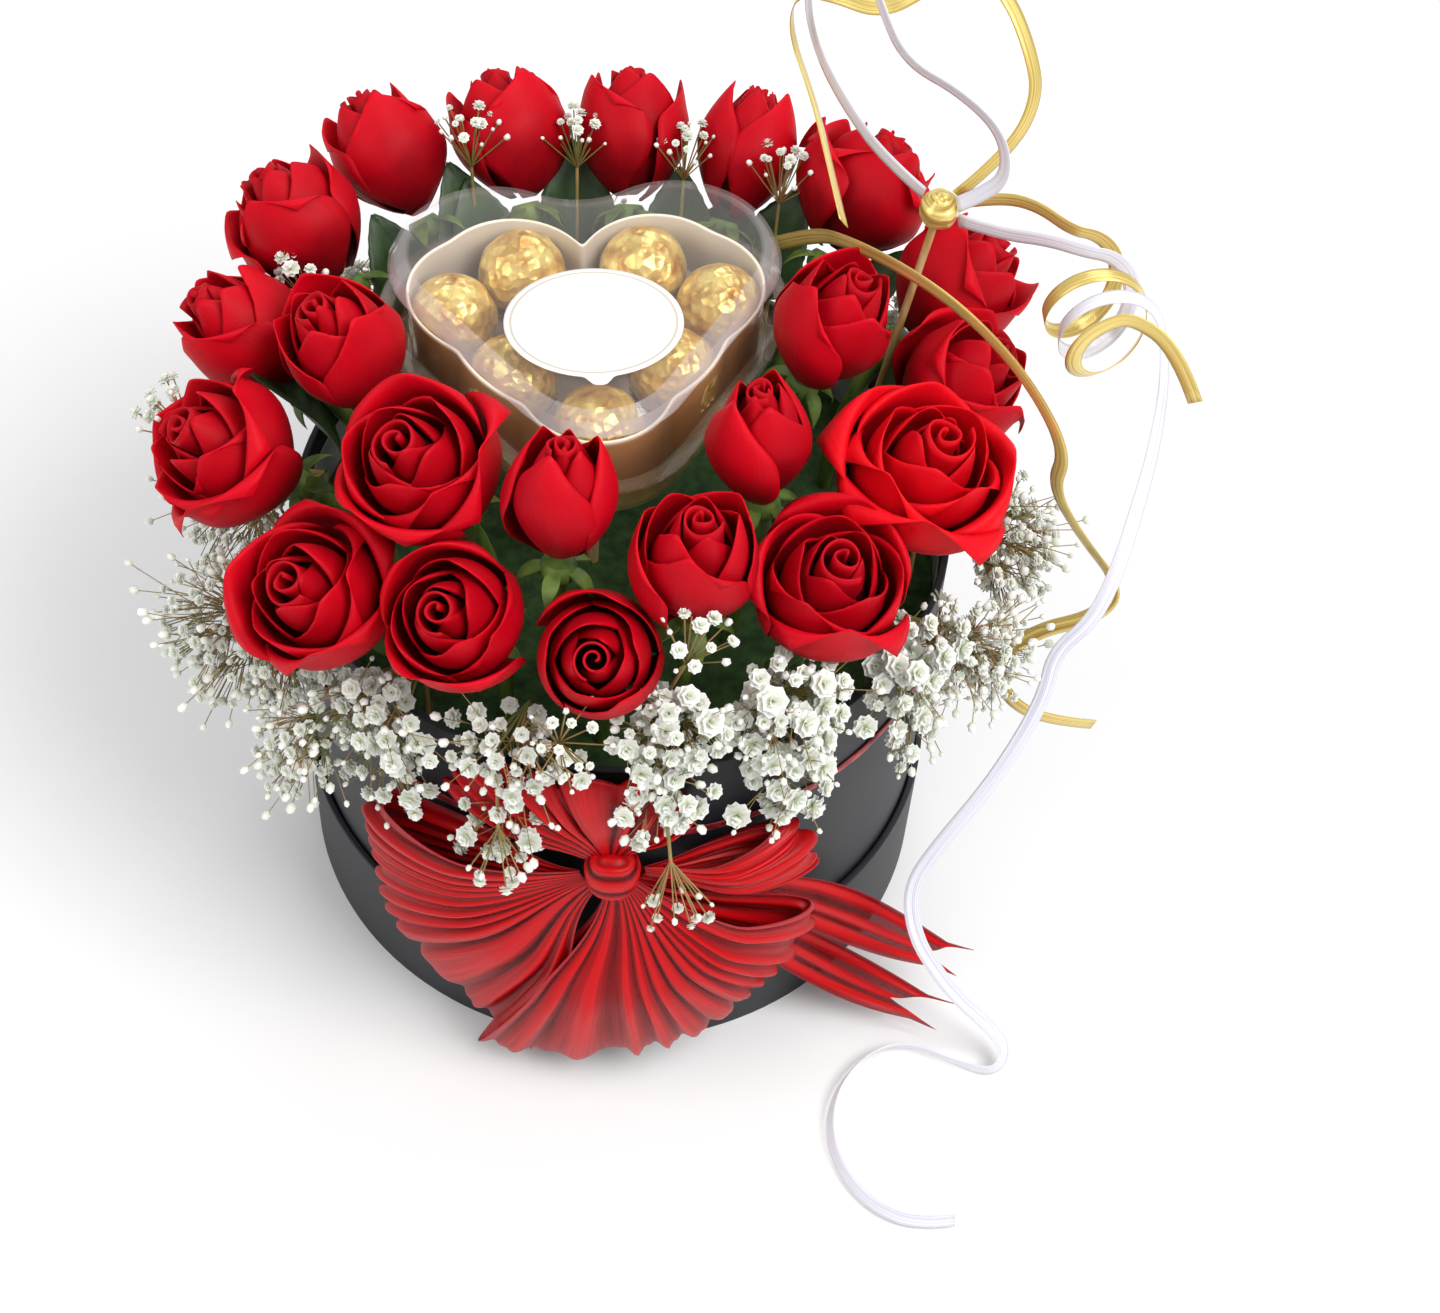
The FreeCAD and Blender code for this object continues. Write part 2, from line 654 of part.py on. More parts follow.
def rod(start, end, diameter):
    """A straight round twig."""
    along = end - start
    return Part.makeCylinder(diameter / 2, along.Length, start, along)


def spray_solid(spray):
    """A stalk in the foam, three forks over the rim and a cloud of blossoms on twigs."""
    stalk_reach = drum_bore - size("stalk_inset")

    def at(across, out, rise):
        reach = drum_radius + out
        return Vector(reach, across, rim_level + rise)

    fork = Vector(stalk_reach, 0, rim_level + size("stalk_rise"))
    foot = Vector(stalk_reach, 0, foam_top - size("stem_depth") / 2)
    twig = size("twig_diameter")
    pieces = [rod(foot, fork, size("stalk_diameter")),
              Part.makeSphere(size("stalk_diameter") / 2, fork)]
    elbows = [at(across, 7.0, 7.5 - abs(across) / 8) for across in FORKS]
    for elbow in elbows:
        pieces.append(rod(fork, elbow, 1.3 * twig))
        pieces.append(Part.makeSphere(0.65 * twig, elbow))
    middle = (spray.top - spray.drop) / 2
    half_tall = (spray.top + spray.drop) / 2
    for number in range(spray.flowers):
        spread = sqrt((number + 0.5) / spray.flowers)
        angle = radians(GOLDEN_ANGLE * number)
        across = spray.width * spread * cos(angle)
        rise = middle + half_tall * spread * sin(angle)
        out = 15.0 + 7.0 * (1 - spread) + 3.0 * sin(2.4 * number)
        blossom = at(across, out, rise)
        elbow = min(elbows, key=lambda point: (point - blossom).Length)
        pieces.append(rod(elbow, blossom, twig))
        pieces.append(Part.makeSphere(size("flower_radius") * (0.8 + 0.2 * cos(1.7 * number)), blossom))
    solid = pieces[0].multiFuse(pieces[1:])
    solid.rotate(Vector(), UP, spray.bearing)
    return solid


for number, spray in enumerate(SPRAYS, start=1):
    feature("gypsophila_%02d" % number, spray_solid(spray))

# Picks and foam

PICK_PLACES = ((-18, 10), (18, 10), (0, -22))


def picks():
    """Wooden picks under the chocolate box, down into the foam."""
    rods = []
    for x, y in PICK_PLACES:
        top = heart_place.multVec(Vector(x, y, 0))
        bottom = Vector(top.x, top.y, foam_top - size("pick_depth"))
        rods.append(rod(bottom, top, size("pick_diameter")))
    return rods


TIE = Vector(94, 39, 257)
TIE_PICK_FOOT = Vector(64, 16, 84)


def tie_pick():
    """Thin pick that holds the knot of the gift ribbons above the roses."""
    along = TIE - TIE_PICK_FOOT
    along.normalize()
    top = TIE - along * (size("tie_radius") + size("cloth_gap"))
    return rod(TIE_PICK_FOOT, top, size("tie_pick_diameter"))


def foam():
    """Wet foam with the holes that the stems, stalks and picks make."""
    radius = drum_bore - size("liner_gap") - size("film") - size("foam_gap")
    block = Part.makeCylinder(radius, foam_top - foam_floor, Vector(0, 0, foam_floor))
    fit = 2 * size("stem_fit")
    holes = []
    for rose in ROSES:
        foot, neck, bend, heel = stem_points(rose)
        holes.append(rod(heel, heel + (bend - heel) * 0.9, size("stem_diameter") + fit))
    for spray in SPRAYS:
        reach = drum_bore - size("stalk_inset")
        foot = polar(spray.bearing, reach, foam_top - size("stem_depth") / 2)
        holes.append(rod(foot, foot + UP * size("stem_depth"), size("stalk_diameter") + fit))
    for x, y in PICK_PLACES:
        foot = heart_place.multVec(Vector(x, y, 0))
        foot.z = foam_top - size("pick_depth")
        holes.append(rod(foot, foot + UP * 2 * size("pick_depth"), size("pick_diameter") + fit))
    holes.append(rod(TIE_PICK_FOOT, TIE, size("tie_pick_diameter") + fit))
    return block.cut(Part.makeCompound(holes))


feature("heart_picks", Part.makeCompound(picks()))
feature("ribbon_pick", tie_pick())
feature("floral_foam", foam())

# Narrow ribbon round the drum, and the bow

WAIST_TILT = 2.0


def waist_ribbon():
    """Flat ring of ribbon, a little askew on the drum."""
    inside = drum_radius + size("cloth_gap")
    ring = Part.makeCylinder(inside + size("waist_cloth"), size("waist_width"))
    ring = ring.cut(Part.makeCylinder(inside, size("waist_width")))
    place = Placement(Vector(0, 0, size("waist_rise")), Rotation(Vector(0, 1, 0), -WAIST_TILT))
    feature("waist_ribbon", ring, place)


def on_front(across, rise, out):
    """Point on the drum's front: distance round the wall, height over the knot, stand-off."""
    bearing = -90.0 + degrees(across / drum_radius)
    return polar(bearing, drum_radius + out, size("bow_rise") + rise)


def fan_point(angle, length, out):
    """Point of a bow loop, at an angle from the knot, as on a clock face laid on the wall."""
    return on_front(length * cos(radians(angle)), length * sin(radians(angle)), out)


Loop = namedtuple("Loop", "low high reach_low reach_high inner outer folds depth")
LOOPS = {
    "bow_loop_left": Loop(192, 248, 74, 112, 4.5, 17.0, 5, 1.0),
    "bow_loop_right": Loop(258, 306, 114, 100, 10.0, 25.0, 5, 1.0),
    "bow_loop_top": Loop(-14, 16, 62, 50, 5.0, 17.0, 3, 0.9),
}
ROOT_GAP = 1.2


def knot_middle():
    """Stand-off of the middle of the knot from the drum."""
    return size("cloth_gap") + size("knot_deep") / 2


def loop_root(loop):
    """Distance from the middle of the knot to the gathered end of a loop, just clear of it."""
    facing = radians((loop.low + loop.high) / 2)
    stretch = 1 + knot_middle() / drum_radius
    girth = hypot(cos(facing) * size("knot_width") / stretch, sin(facing) * size("knot_tall")) / 2
    return (girth + size("cloth_gap")) / cos(radians(loop.high - loop.low) / 2)


def loop_stations(loop):
    """Along the cloth: share of the reach, stand-off, swing of the outer side, fold depth."""
    middle = (loop.inner + loop.outer) / 2
    return (
        (0.0, knot_middle() + ROOT_GAP, 90, 0.3),
        (0.5, loop.outer + 4, 90, 0.9),
        (0.86, loop.outer, 80, 1.0),
        (0.96, middle + 0.7 * (loop.outer - middle), 45, 1.0),
        (1.0, middle, 0, 1.0),
        (0.96, middle - 0.7 * (middle - loop.inner), -45, 1.0),
        (0.86, loop.inner, -80, 1.0),
        (0.5, loop.inner, -90, 0.9),
        (0.0, knot_middle() - ROOT_GAP, -90, 0.3),
    )


def loop_solid(loop):
    """A loop of pleated cloth: out from the knot, over the fold at its end and back again."""
    half = size("bow_cloth") / 2
    count = 2 * loop.folds
    root = loop_root(loop)
    sections = []
    for along, out, swing, fold in loop_stations(loop):
        front = []
        back = []
        for number in range(count + 1):
            share = number / count
            angle = loop.low + (loop.high - loop.low) * share
            end = loop.reach_low + (loop.reach_high - loop.reach_low) * share
            length = root + (end - root) * along
            at_root = along == 0.0
            face = (loop.low + loop.high) / 2 if at_root else angle
            normal, outward = fan_frame(face, length)
            side = normal * sin(radians(swing)) + outward * cos(radians(swing))
            if at_root:
                first = fan_point(loop.low, length, out)
                last = fan_point(loop.high, length, out)
                middle = first + (last - first) * share
            else:
                middle = fan_point(angle, length, out)
            middle = middle + side * (loop.depth * fold * (1 if number % 2 else -1))
            front.append(middle + side * half)
            back.append(middle - side * half)
        outline = front + back[::-1]
        sections.append(Part.makePolygon(outline + outline[:1]))
    return Part.makeLoft(sections, True, True)


def fan_frame(angle, length):
    """Directions at a point of a loop: away from the drum, and away from the knot."""
    bearing = -90.0 + degrees(length * cos(radians(angle)) / drum_radius)
    normal = polar(bearing, 1.0, 0.0)
    along_wall = Vector(-normal.y, normal.x, 0)
    return normal, along_wall * cos(radians(angle)) + UP * sin(radians(angle))


Station = namedtuple("Station", "across rise out half_width fold")
TAILS = {
    "bow_tail_upper": (Station(8, -5.6, 6.5, 2.2, 0.4), Station(52, -36, 4.5, 8.0, 1.2),
                       Station(80, -65, 16.0, 9.0, 2.5), Station(101, -92, 46.0, 2.0, 0.5)),
    "bow_tail_lower": (Station(4.8, -5.8, 2.2, 2.4, 0.4), Station(40, -48, 2.8, 7.0, 0.6),
                       Station(58, -70, 5.6, 8.0, 0.8), Station(74, -90, 17.0, 8.0, 2.0),
                       Station(92, -108, 50.0, 2.0, 0.5)),
}


def tail_solid(stations):
    """A tail of cloth folded down its middle, hanging from the knot and flaring off the drum."""
    half = size("bow_cloth") / 2
    first = stations[0]
    last = stations[-1]
    slope = atan2(last.rise - first.rise, last.across - first.across)
    sections = []
    for station in stations:
        middle = on_front(station.across, station.rise, station.out)
        normal = polar(-90.0 + degrees(station.across / drum_radius), 1.0, 0.0)
        along_wall = Vector(-normal.y, normal.x, 0)
        side = along_wall * -sin(slope) + UP * cos(slope)
        edge = side * station.half_width
        ridge = middle + normal * station.fold
        skin = normal * half
        outline = [middle - edge + skin, ridge + skin, middle + edge + skin,
                   middle + edge - skin, ridge - skin, middle - edge - skin]
        sections.append(Part.makePolygon(outline + outline[:1]))
    return Part.makeLoft(sections, True, True)


def bow_knot():
    """The gathered middle of the bow, as a plump pad against the drum."""
    pad = doc.addObject("Part::Ellipsoid", "bow_knot")
    pad.setExpression("Radius1", "sizes.knot_tall / 2")
    pad.setExpression("Radius2", "sizes.knot_deep / 2")
    pad.setExpression("Radius3", "sizes.knot_width / 2")
    pad.setExpression("Placement.Base.y", "-" + DRUM_RADIUS
                      + " - sizes.cloth_gap - sizes.knot_deep / 2")
    pad.setExpression("Placement.Base.z", "sizes.bow_rise")
    pad.Placement.Rotation = Rotation(UP, -90)
    doc.recompute()
    named(pad, "bow_knot")


waist_ribbon()
bow_knot()
for label, loop in LOOPS.items():
    feature(label, loop_solid(loop))
for label, stations in TAILS.items():
    feature(label, tail_solid(stations))

# Curled gift ribbons, tied in one knot on the right

CURL_START = Vector(134, 26, 246)
CURL_END = Vector(148, -14, 250)
CURL_RADIUS = 15.0
CURL_TURNS = 2.0
POINTS_PER_TURN = 12


def curl_points(first_turn, last_turn, phase):
    """Points of a loose curl, counted in turns along its middle line from its top."""
    along = CURL_END - CURL_START
    axis = Vector(along)
    axis.normalize()
    high = UP - axis * axis.dot(UP)
    high.normalize()
    left = axis.cross(high)
    points = []
    count = round((last_turn - first_turn) * POINTS_PER_TURN)
    for number in range(count + 1):
        turn = first_turn + number / POINTS_PER_TURN
        angle = phase - 2 * pi * turn
        middle = CURL_START + along * (turn / CURL_TURNS)
        points.append(middle + (high * cos(angle) + left * sin(angle)) * CURL_RADIUS)
    return points


def vectors(*places):
    """Hand-chosen points of a route."""
    return [Vector(*place) for place in places]


ROUTES = {
    "ribbon_gold_long": vectors(
        (46, 72, 208), (58, 57, 228), (66, 31, 250), (84, 4, 263), (101, -14, 263),
        (118, -28, 252), (131, -38, 233), (130, -33, 212), (142, -36, 192), (157, -43, 176),
        (151, -42, 160), (134, -40, 150), (121, -44, 138), (128, -52, 126), (142, -54, 120),
        (157, -52, 116)),
    "ribbon_gold_loop": vectors(
        (64, 28, 260), (61, 52, 259), (56, 78, 264), (47, 94, 279), (48, 90, 298),
        (58, 77, 307), (73, 70, 306), (87, 72, 316), (100, 76, 320), (110, 71, 313),
        (117, 62, 302), (121, 54, 290), (114, 46, 275), (98.9, 40.8, 261.4)),
    "ribbon_white_loop": vectors(
        (89, 42.35, 260.35), (77, 53, 264), (66, 70, 268), (57, 90, 272), (52, 102, 284),
        (54, 104, 300), (60, 96, 314), (66, 80, 322), (71, 64, 314), (79, 53, 302),
        (96, 46, 297), (109, 38, 289), (112, 33, 276), (104, 35, 266), (98.8, 36.6, 261.3)),
    "ribbon_gold_curl": (vectors((100.35, 39.5, 259.55), (112, 40, 262), (123, 36, 263))
                         + curl_points(0.0, 2.0, 0.0) + vectors((161, -19, 259), (168, -28, 246))),
    "ribbon_white_tail": (vectors((99.75, 35.25, 256.4), (112, 28, 258), (125, 21, 263))
                          + curl_points(0.5, 1.75, pi) + vectors(
        (162, -14, 237), (160, -27, 221), (156, -39, 208), (152, -50, 195), (146, -59, 180),
        (136, -60, 165), (135, -65, 149), (128, -73, 133), (119, -80, 115), (107, -87, 96),
        (98, -94, 80), (101, -103, 64), (110, -109, 50), (120, -112, 36), (130, -111, 21),
        (139, -114, 9), (135, -122, 4.2), (120, -117, 4), (104, -110, 4), (90, -115, 4),
        (79, -129, 4), (76, -146, 4), (81, -162, 4), (92, -174, 4), (106, -179, 4),
        (118, -177, 4))),
}


def ribbon_solid(label, points):
    """Flat ribbon along a route."""
    path, radii = rounded_path(points)
    ahead = points[1] - points[0]
    ahead.normalize()
    across = ahead.cross(UP)
    across.normalize()
    thick = ahead.cross(across)
    wide = across * (size("curl_width") / 2)
    thin = thick * (size("curl_thickness") / 2)
    start = points[0]
    corners = [start + wide + thin, start - wide + thin, start - wide - thin, start + wide - thin]
    solid = path.makePipeShell([Part.makePolygon(corners + corners[:1])], True, False)
    section = size("curl_width") * size("curl_thickness")
    print("%s: length %.1f, least radius %.1f, volume over section times length %.3f"
          % (label, path.Length, min(radii), solid.Volume / (section * path.Length)))
    return solid


feature("ribbon_knot", Part.makeSphere(size("tie_radius"), TIE))
for label, points in ROUTES.items():
    feature(label, ribbon_solid(label, points))

# Check and export

doc.recompute()
for obj in doc.Objects:
    faults = [state for state in obj.State if state in ("Invalid", "Error")]
    if faults:
        raise RuntimeError("%s failed: %s" % (obj.Label, faults))
for obj in SUB_PARTS:
    if obj.Shape.isNull() or not obj.Shape.isValid() or not obj.Shape.Solids:
        raise RuntimeError("%s has no valid solid" % obj.Label)
os.makedirs("parts", exist_ok=True)
for obj in SUB_PARTS:
    obj.Shape.exportStep("parts/%s.step" % obj.Label)
print("%d sub-parts, %d solids" % (len(SUB_PARTS), sum(len(obj.Shape.Solids) for obj in SUB_PARTS)))
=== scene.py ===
"""Looks of a flower box: black hat box, red roses, baby's breath, chocolates, bow and ribbons.

Every shape is worked out in millimetres, in the frame of the solids, and goes to Blender in metres.
"""

import logging
from dataclasses import dataclass, field
from enum import Enum
from typing import Any, Sequence

import bpy
import numpy as np
from mathutils import Euler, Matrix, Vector
from numpy.typing import NDArray


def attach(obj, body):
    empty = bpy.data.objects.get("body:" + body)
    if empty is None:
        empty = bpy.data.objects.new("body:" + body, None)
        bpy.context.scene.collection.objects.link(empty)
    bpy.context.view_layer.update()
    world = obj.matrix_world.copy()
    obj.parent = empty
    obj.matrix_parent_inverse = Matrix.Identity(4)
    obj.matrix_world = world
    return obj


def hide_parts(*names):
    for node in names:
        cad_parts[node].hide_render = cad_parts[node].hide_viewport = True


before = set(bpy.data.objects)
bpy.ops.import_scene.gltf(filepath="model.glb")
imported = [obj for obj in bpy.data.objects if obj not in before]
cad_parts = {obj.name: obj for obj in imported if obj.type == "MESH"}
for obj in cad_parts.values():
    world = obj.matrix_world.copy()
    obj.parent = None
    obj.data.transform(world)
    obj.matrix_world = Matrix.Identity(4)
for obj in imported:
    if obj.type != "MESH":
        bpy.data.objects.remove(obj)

Array = NDArray[np.float64]
Faces = NDArray[np.int64]
Tree = bpy.types.NodeTree
Socket = bpy.types.NodeSocket

MM = 0.001
GOLDEN_ANGLE = np.radians(137.508)
DRUM_RADIUS = 107.2
DRUM_BORE = 104.8
RIM_LEVEL = 160.0
FOAM_TOP = 134.0

log = logging.getLogger("flower_box")


class Body(Enum):
    """Bodies of the frame that pieces ride on."""

    DRUM = "drum"
    LID = "chocolate_lid"


# Colours and node work


def linear(code: str) -> tuple[float, float, float, float]:
    """Turns an sRGB hex colour into linear RGBA.

    Args:
        code: colour such as "#C8001E".

    Returns:
        The four linear channels, opaque.
    """
    parts = np.array([int(code[k:k + 2], 16) for k in (1, 3, 5)]) / 255
    low, high = parts / 12.92, ((parts + 0.055) / 1.055) ** 2.4
    return (*np.where(parts <= 0.04045, low, high).tolist(), 1.0)


def per_metre(size_mm: float) -> float:
    """Texture scale, over places in metres, whose features are about this many millimetres."""
    return 1.0 / (size_mm * MM)


def feed(tree: Tree, node: bpy.types.Node, inputs: dict[Any, Any]) -> None:
    """Fills sockets, by name or number: a constant is written, an output socket is linked.

    Args:
        tree: node tree of a material or world.
        node: the node whose sockets are filled.
        inputs: socket name or number, with its constant or the output socket that feeds it.
    """
    for key, value in inputs.items():
        if isinstance(value, Socket):
            tree.links.new(value, node.inputs[key])
        else:
            node.inputs[key].default_value = value


def add_node(tree: Tree, kind: str, inputs: dict[Any, Any] | None = None,
             stops: Sequence[tuple[float, str]] = (), **settings: Any) -> bpy.types.Node:
    """Adds a node with its settings, values and links.

    Args:
        tree: node tree of a material.
        kind: Blender's name of the node type.
        inputs: socket name or number, with a constant or with the output socket that feeds it.
        stops: colour ramp stops, as place and hex colour.
        settings: properties of the node itself.

    Returns:
        The new node.
    """
    node = tree.nodes.new(kind)
    for name, value in settings.items():
        setattr(node, name, value)
    for number, (place, code) in enumerate(stops):
        elements = node.color_ramp.elements
        stop = elements[number] if number < 2 else elements.new(place)
        stop.position = place
        stop.color = linear(code)
    feed(tree, node, inputs or {})
    return node


def object_place(tree: Tree) -> Socket:
    """Place on the object, in metres."""
    return add_node(tree, "ShaderNodeTexCoord").outputs["Object"]


def own_uv(tree: Tree) -> Socket:
    """Place on the piece's own UV."""
    return add_node(tree, "ShaderNodeUVMap").outputs["UV"]


def mark_value(tree: Tree, name: str) -> Socket:
    """Value of a mark that the piece's points carry."""
    return add_node(tree, "ShaderNodeAttribute", attribute_name=name).outputs["Fac"]


def drawn(tree: Tree, place: Socket, scale: tuple[float, float, float]) -> Socket:
    """A place drawn out or pressed together along its axes."""
    return add_node(tree, "ShaderNodeMapping", {"Vector": place, "Scale": scale}).outputs["Vector"]


def noise(tree: Tree, place: Socket, scale: float, detail: float = 3.0) -> Socket:
    """Soft noise over a place."""
    return add_node(tree, "ShaderNodeTexNoise", {"Vector": place, "Scale": scale,
                                                 "Detail": detail}).outputs["Fac"]


def ramp(tree: Tree, value: Socket, stops: Sequence[tuple[float, str]]) -> Socket:
    """Colour that a value picks from a ramp."""
    return add_node(tree, "ShaderNodeValToRGB", {"Fac": value}, stops).outputs["Color"]


def scaled_sum(tree: Tree, value: Socket, factor: Any, plus: Any, **settings: Any) -> Socket:
    """A value times a factor, plus another value."""
    return add_node(tree, "ShaderNodeMath", {0: value, 1: factor, 2: plus}, operation="MULTIPLY_ADD",
                    **settings).outputs["Value"]


def lifted(tree: Tree, height: Socket, strength: float, depth_mm: float) -> Socket:
    """Normal of a surface that a height lifts by up to a depth."""
    return add_node(tree, "ShaderNodeBump", {"Height": height, "Strength": strength,
                                             "Distance": depth_mm * MM}).outputs["Normal"]


# Finishes


@dataclass(frozen=True)
class Finish:
    """A surface: its name and how its nodes are wired."""

    name: str

    def wire(self, tree: Tree, shader: bpy.types.Node) -> None:
        """Wires the finish into a Principled shader."""

    def material(self) -> bpy.types.Material:
        """The Blender material of this finish, made once.

        Returns:
            The material, with its nodes wired.
        """
        made = bpy.data.materials.get(self.name)
        if made is None:
            made = bpy.data.materials.new(self.name)
            made.use_nodes = True
            tree = made.node_tree
            self.wire(tree, tree.nodes["Principled BSDF"])
        return made


@dataclass(frozen=True)
class WrappedBoard(Finish):
    """Matt black dyed paper wrapped over greyboard: soft, slightly cloudy, with a fine fibre tooth."""

    dark: str = "#15171B"
    light: str = "#22242A"
    cloud_mm: float = 28.0
    fibre_mm: float = 0.9

    def wire(self, tree: Tree, shader: bpy.types.Node) -> None:
        """Clouds change the black a little; fibres, drawn coarser than real to show, lift the bump.

        Args:
            tree: node tree of the material.
            shader: its Principled shader.
        """
        place = object_place(tree)
        cloud = noise(tree, place, per_metre(self.cloud_mm), 5.0)
        fibre = noise(tree, place, per_metre(self.fibre_mm))
        rough = add_node(tree, "ShaderNodeMapRange", {"Value": cloud, "To Min": 0.48, "To Max": 0.62})
        feed(tree, shader, {
            "Base Color": ramp(tree, cloud, ((0.35, self.dark), (0.7, self.light))),
            "Roughness": rough.outputs["Result"],
            "Normal": lifted(tree, fibre, 0.18, 0.2)})


@dataclass(frozen=True)
class RosePetal(Finish):
    """Living rose petal: velvet red, with painted shade that falls almost to black in the folds, and fine
    veins that run to the lip.
    """

    # fold is painted shade: the red deep in the bloom, at petal feet and on the inner petals.
    fold: str = "#2E0006"
    body: str = "#AE0014"
    lip: str = "#D4021C"
    down: str = "#FF2A48"
    cloud_mm: float = 9.0
    vein_count: float = 34.0

    def wire(self, tree: Tree, shader: bpy.types.Node) -> None:
        """Height sets the red, painting shade on petal feet and inner petals; veins follow the petal's own
        UV; down gives a sheen.

        Args:
            tree: node tree of the material.
            shader: its Principled shader.
        """
        cloud = noise(tree, object_place(tree), per_metre(self.cloud_mm), 4.0)
        # The lip mark, with a cloud, is painted shade: darkest at each petal's foot and on the inner petals.
        shade = scaled_sum(tree, cloud, 0.3, mark_value(tree, "lip"))
        vein = noise(tree, drawn(tree, own_uv(tree), (self.vein_count, 3.0, 1.0)), 1.0)
        feed(tree, shader, {
            "Base Color": ramp(tree, shade, ((0.22, self.fold), (0.62, self.body), (1.0, self.lip))),
            "Normal": lifted(tree, vein, 0.3, 0.4),
            "Roughness": 0.55,
            "Sheen Weight": 0.04,
            "Sheen Roughness": 0.4,
            "Sheen Tint": linear(self.down),
            "Specular IOR Level": 0.14})


@dataclass(frozen=True)
class Mottled(Finish):
    """Plain natural or cast stuff: two tones in soft blotches, with a grain that lifts the surface."""

    dark: str
    light: str
    blotch_mm: float
    grain_mm: float
    rough: float
    lift_mm: float = 0.2
    stretch_up: float = 1.0
    sheer: float = 1.0

    def wire(self, tree: Tree, shader: bpy.types.Node) -> None:
        """Blotches mix the tones; a finer noise is the bump; both may be drawn out along the height.

        Args:
            tree: node tree of the material.
            shader: its Principled shader.
        """
        place = drawn(tree, object_place(tree), (1.0, 1.0, 1 / self.stretch_up))
        blotch = noise(tree, place, per_metre(self.blotch_mm), 4.0)
        grain = noise(tree, place, per_metre(self.grain_mm), 4.0)
        feed(tree, shader, {
            "Base Color": ramp(tree, blotch, ((0.35, self.dark), (0.66, self.light))),
            "Normal": lifted(tree, grain, 0.5, self.lift_mm),
            "Roughness": self.rough,
            "Alpha": self.sheer})


@dataclass(frozen=True)
class Graded(Finish):
    """A surface whose colour follows a mark on the piece, with a soft grain over it."""

    mark: str
    tones: tuple[tuple[float, str], ...]
    rough: float
    grain_mm: float
    lift_mm: float = 0.1
    sheen: float = 0.0
    coat: float = 0.0

    def wire(self, tree: Tree, shader: bpy.types.Node) -> None:
        """The mark picks the tone from a ramp; noise is the bump.

        Args:
            tree: node tree of the material.
            shader: its Principled shader.
        """
        grain = noise(tree, object_place(tree), per_metre(self.grain_mm))
        feed(tree, shader, {
            "Base Color": ramp(tree, mark_value(tree, self.mark), self.tones),
            "Normal": lifted(tree, grain, 0.4, self.lift_mm),
            "Roughness": self.rough,
            "Sheen Weight": self.sheen,
            "Coat Weight": self.coat})


@dataclass(frozen=True)
class ClearSheet(Finish):
    """Thermoformed clear PET: a faint haze, bright glints and the shallow waves that forming leaves."""

    tint: str = "#F2ECEC"
    haze: float = 0.02
    top_haze: float = 0.012
    painted_slope_reflection: float = 0.34
    wave_mm: float = 14.0

    def wire(self, tree: Tree, shader: bpy.types.Node) -> None:
        """Mostly see-through at each face of the thin wall, so that light reaches what is inside; the top is
        a little milkier, and the drawn slopes between wall and top carry a painted reflection, a white haze.

        Args:
            tree: node tree of the material.
            shader: its Principled shader.
        """
        place = add_node(tree, "ShaderNodeTexCoord")
        wave = noise(tree, place.outputs["Object"], per_metre(self.wave_mm), 1.0)
        facing = add_node(tree, "ShaderNodeSeparateXYZ", {"Vector": place.outputs["Normal"]})
        upward = add_node(tree, "ShaderNodeMath", {0: facing.outputs["Z"], 1: 0.0}, operation="MAXIMUM")
        rise = upward.outputs["Value"]
        # Painted reflection: the white haze peaks on the slopes, where the normal is half way between up and
        # level.
        haze_and_painted_reflection = scaled_sum(tree, rise, -4 * self.painted_slope_reflection, self.top_haze + 4 * self.painted_slope_reflection)
        feed(tree, shader, {
            "Base Color": linear(self.tint),
            "Alpha": scaled_sum(tree, rise, haze_and_painted_reflection, self.haze, use_clamp=True),
            "Normal": lifted(tree, wave, 0.15, 0.6),
            "Roughness": 0.05,
            "Specular IOR Level": 1.0,
            "Coat Weight": 1.0})


@dataclass(frozen=True)
class CrumpledFoil(Finish):
    """Gold-lacquered aluminium foil, pressed round a ball: bright creases and softer flats."""

    deep: str = "#C0862A"
    bright: str = "#FBDF84"
    warp_mm: float = 6.0
    crease_mm: float = 3.2

    def wire(self, tree: Tree, shader: bpy.types.Node) -> None:
        """Creases are the edges of a cell pattern, bent by a soft noise that also tones the lacquer.

        Args:
            tree: node tree of the material.
            shader: its Principled shader.
        """
        place = object_place(tree)
        warp = noise(tree, place, per_metre(self.warp_mm))
        cells = add_node(tree, "ShaderNodeTexVoronoi", {"Vector": place, "Scale": per_metre(self.crease_mm)},
                         feature="F1")
        height = scaled_sum(tree, warp, 0.8, cells.outputs["Distance"])
        feed(tree, shader, {
            "Base Color": ramp(tree, warp, ((0.3, self.deep), (0.62, self.bright))),
            "Normal": lifted(tree, height, 0.8, 1.0),
            "Metallic": 0.55,
            "Roughness": 0.3})


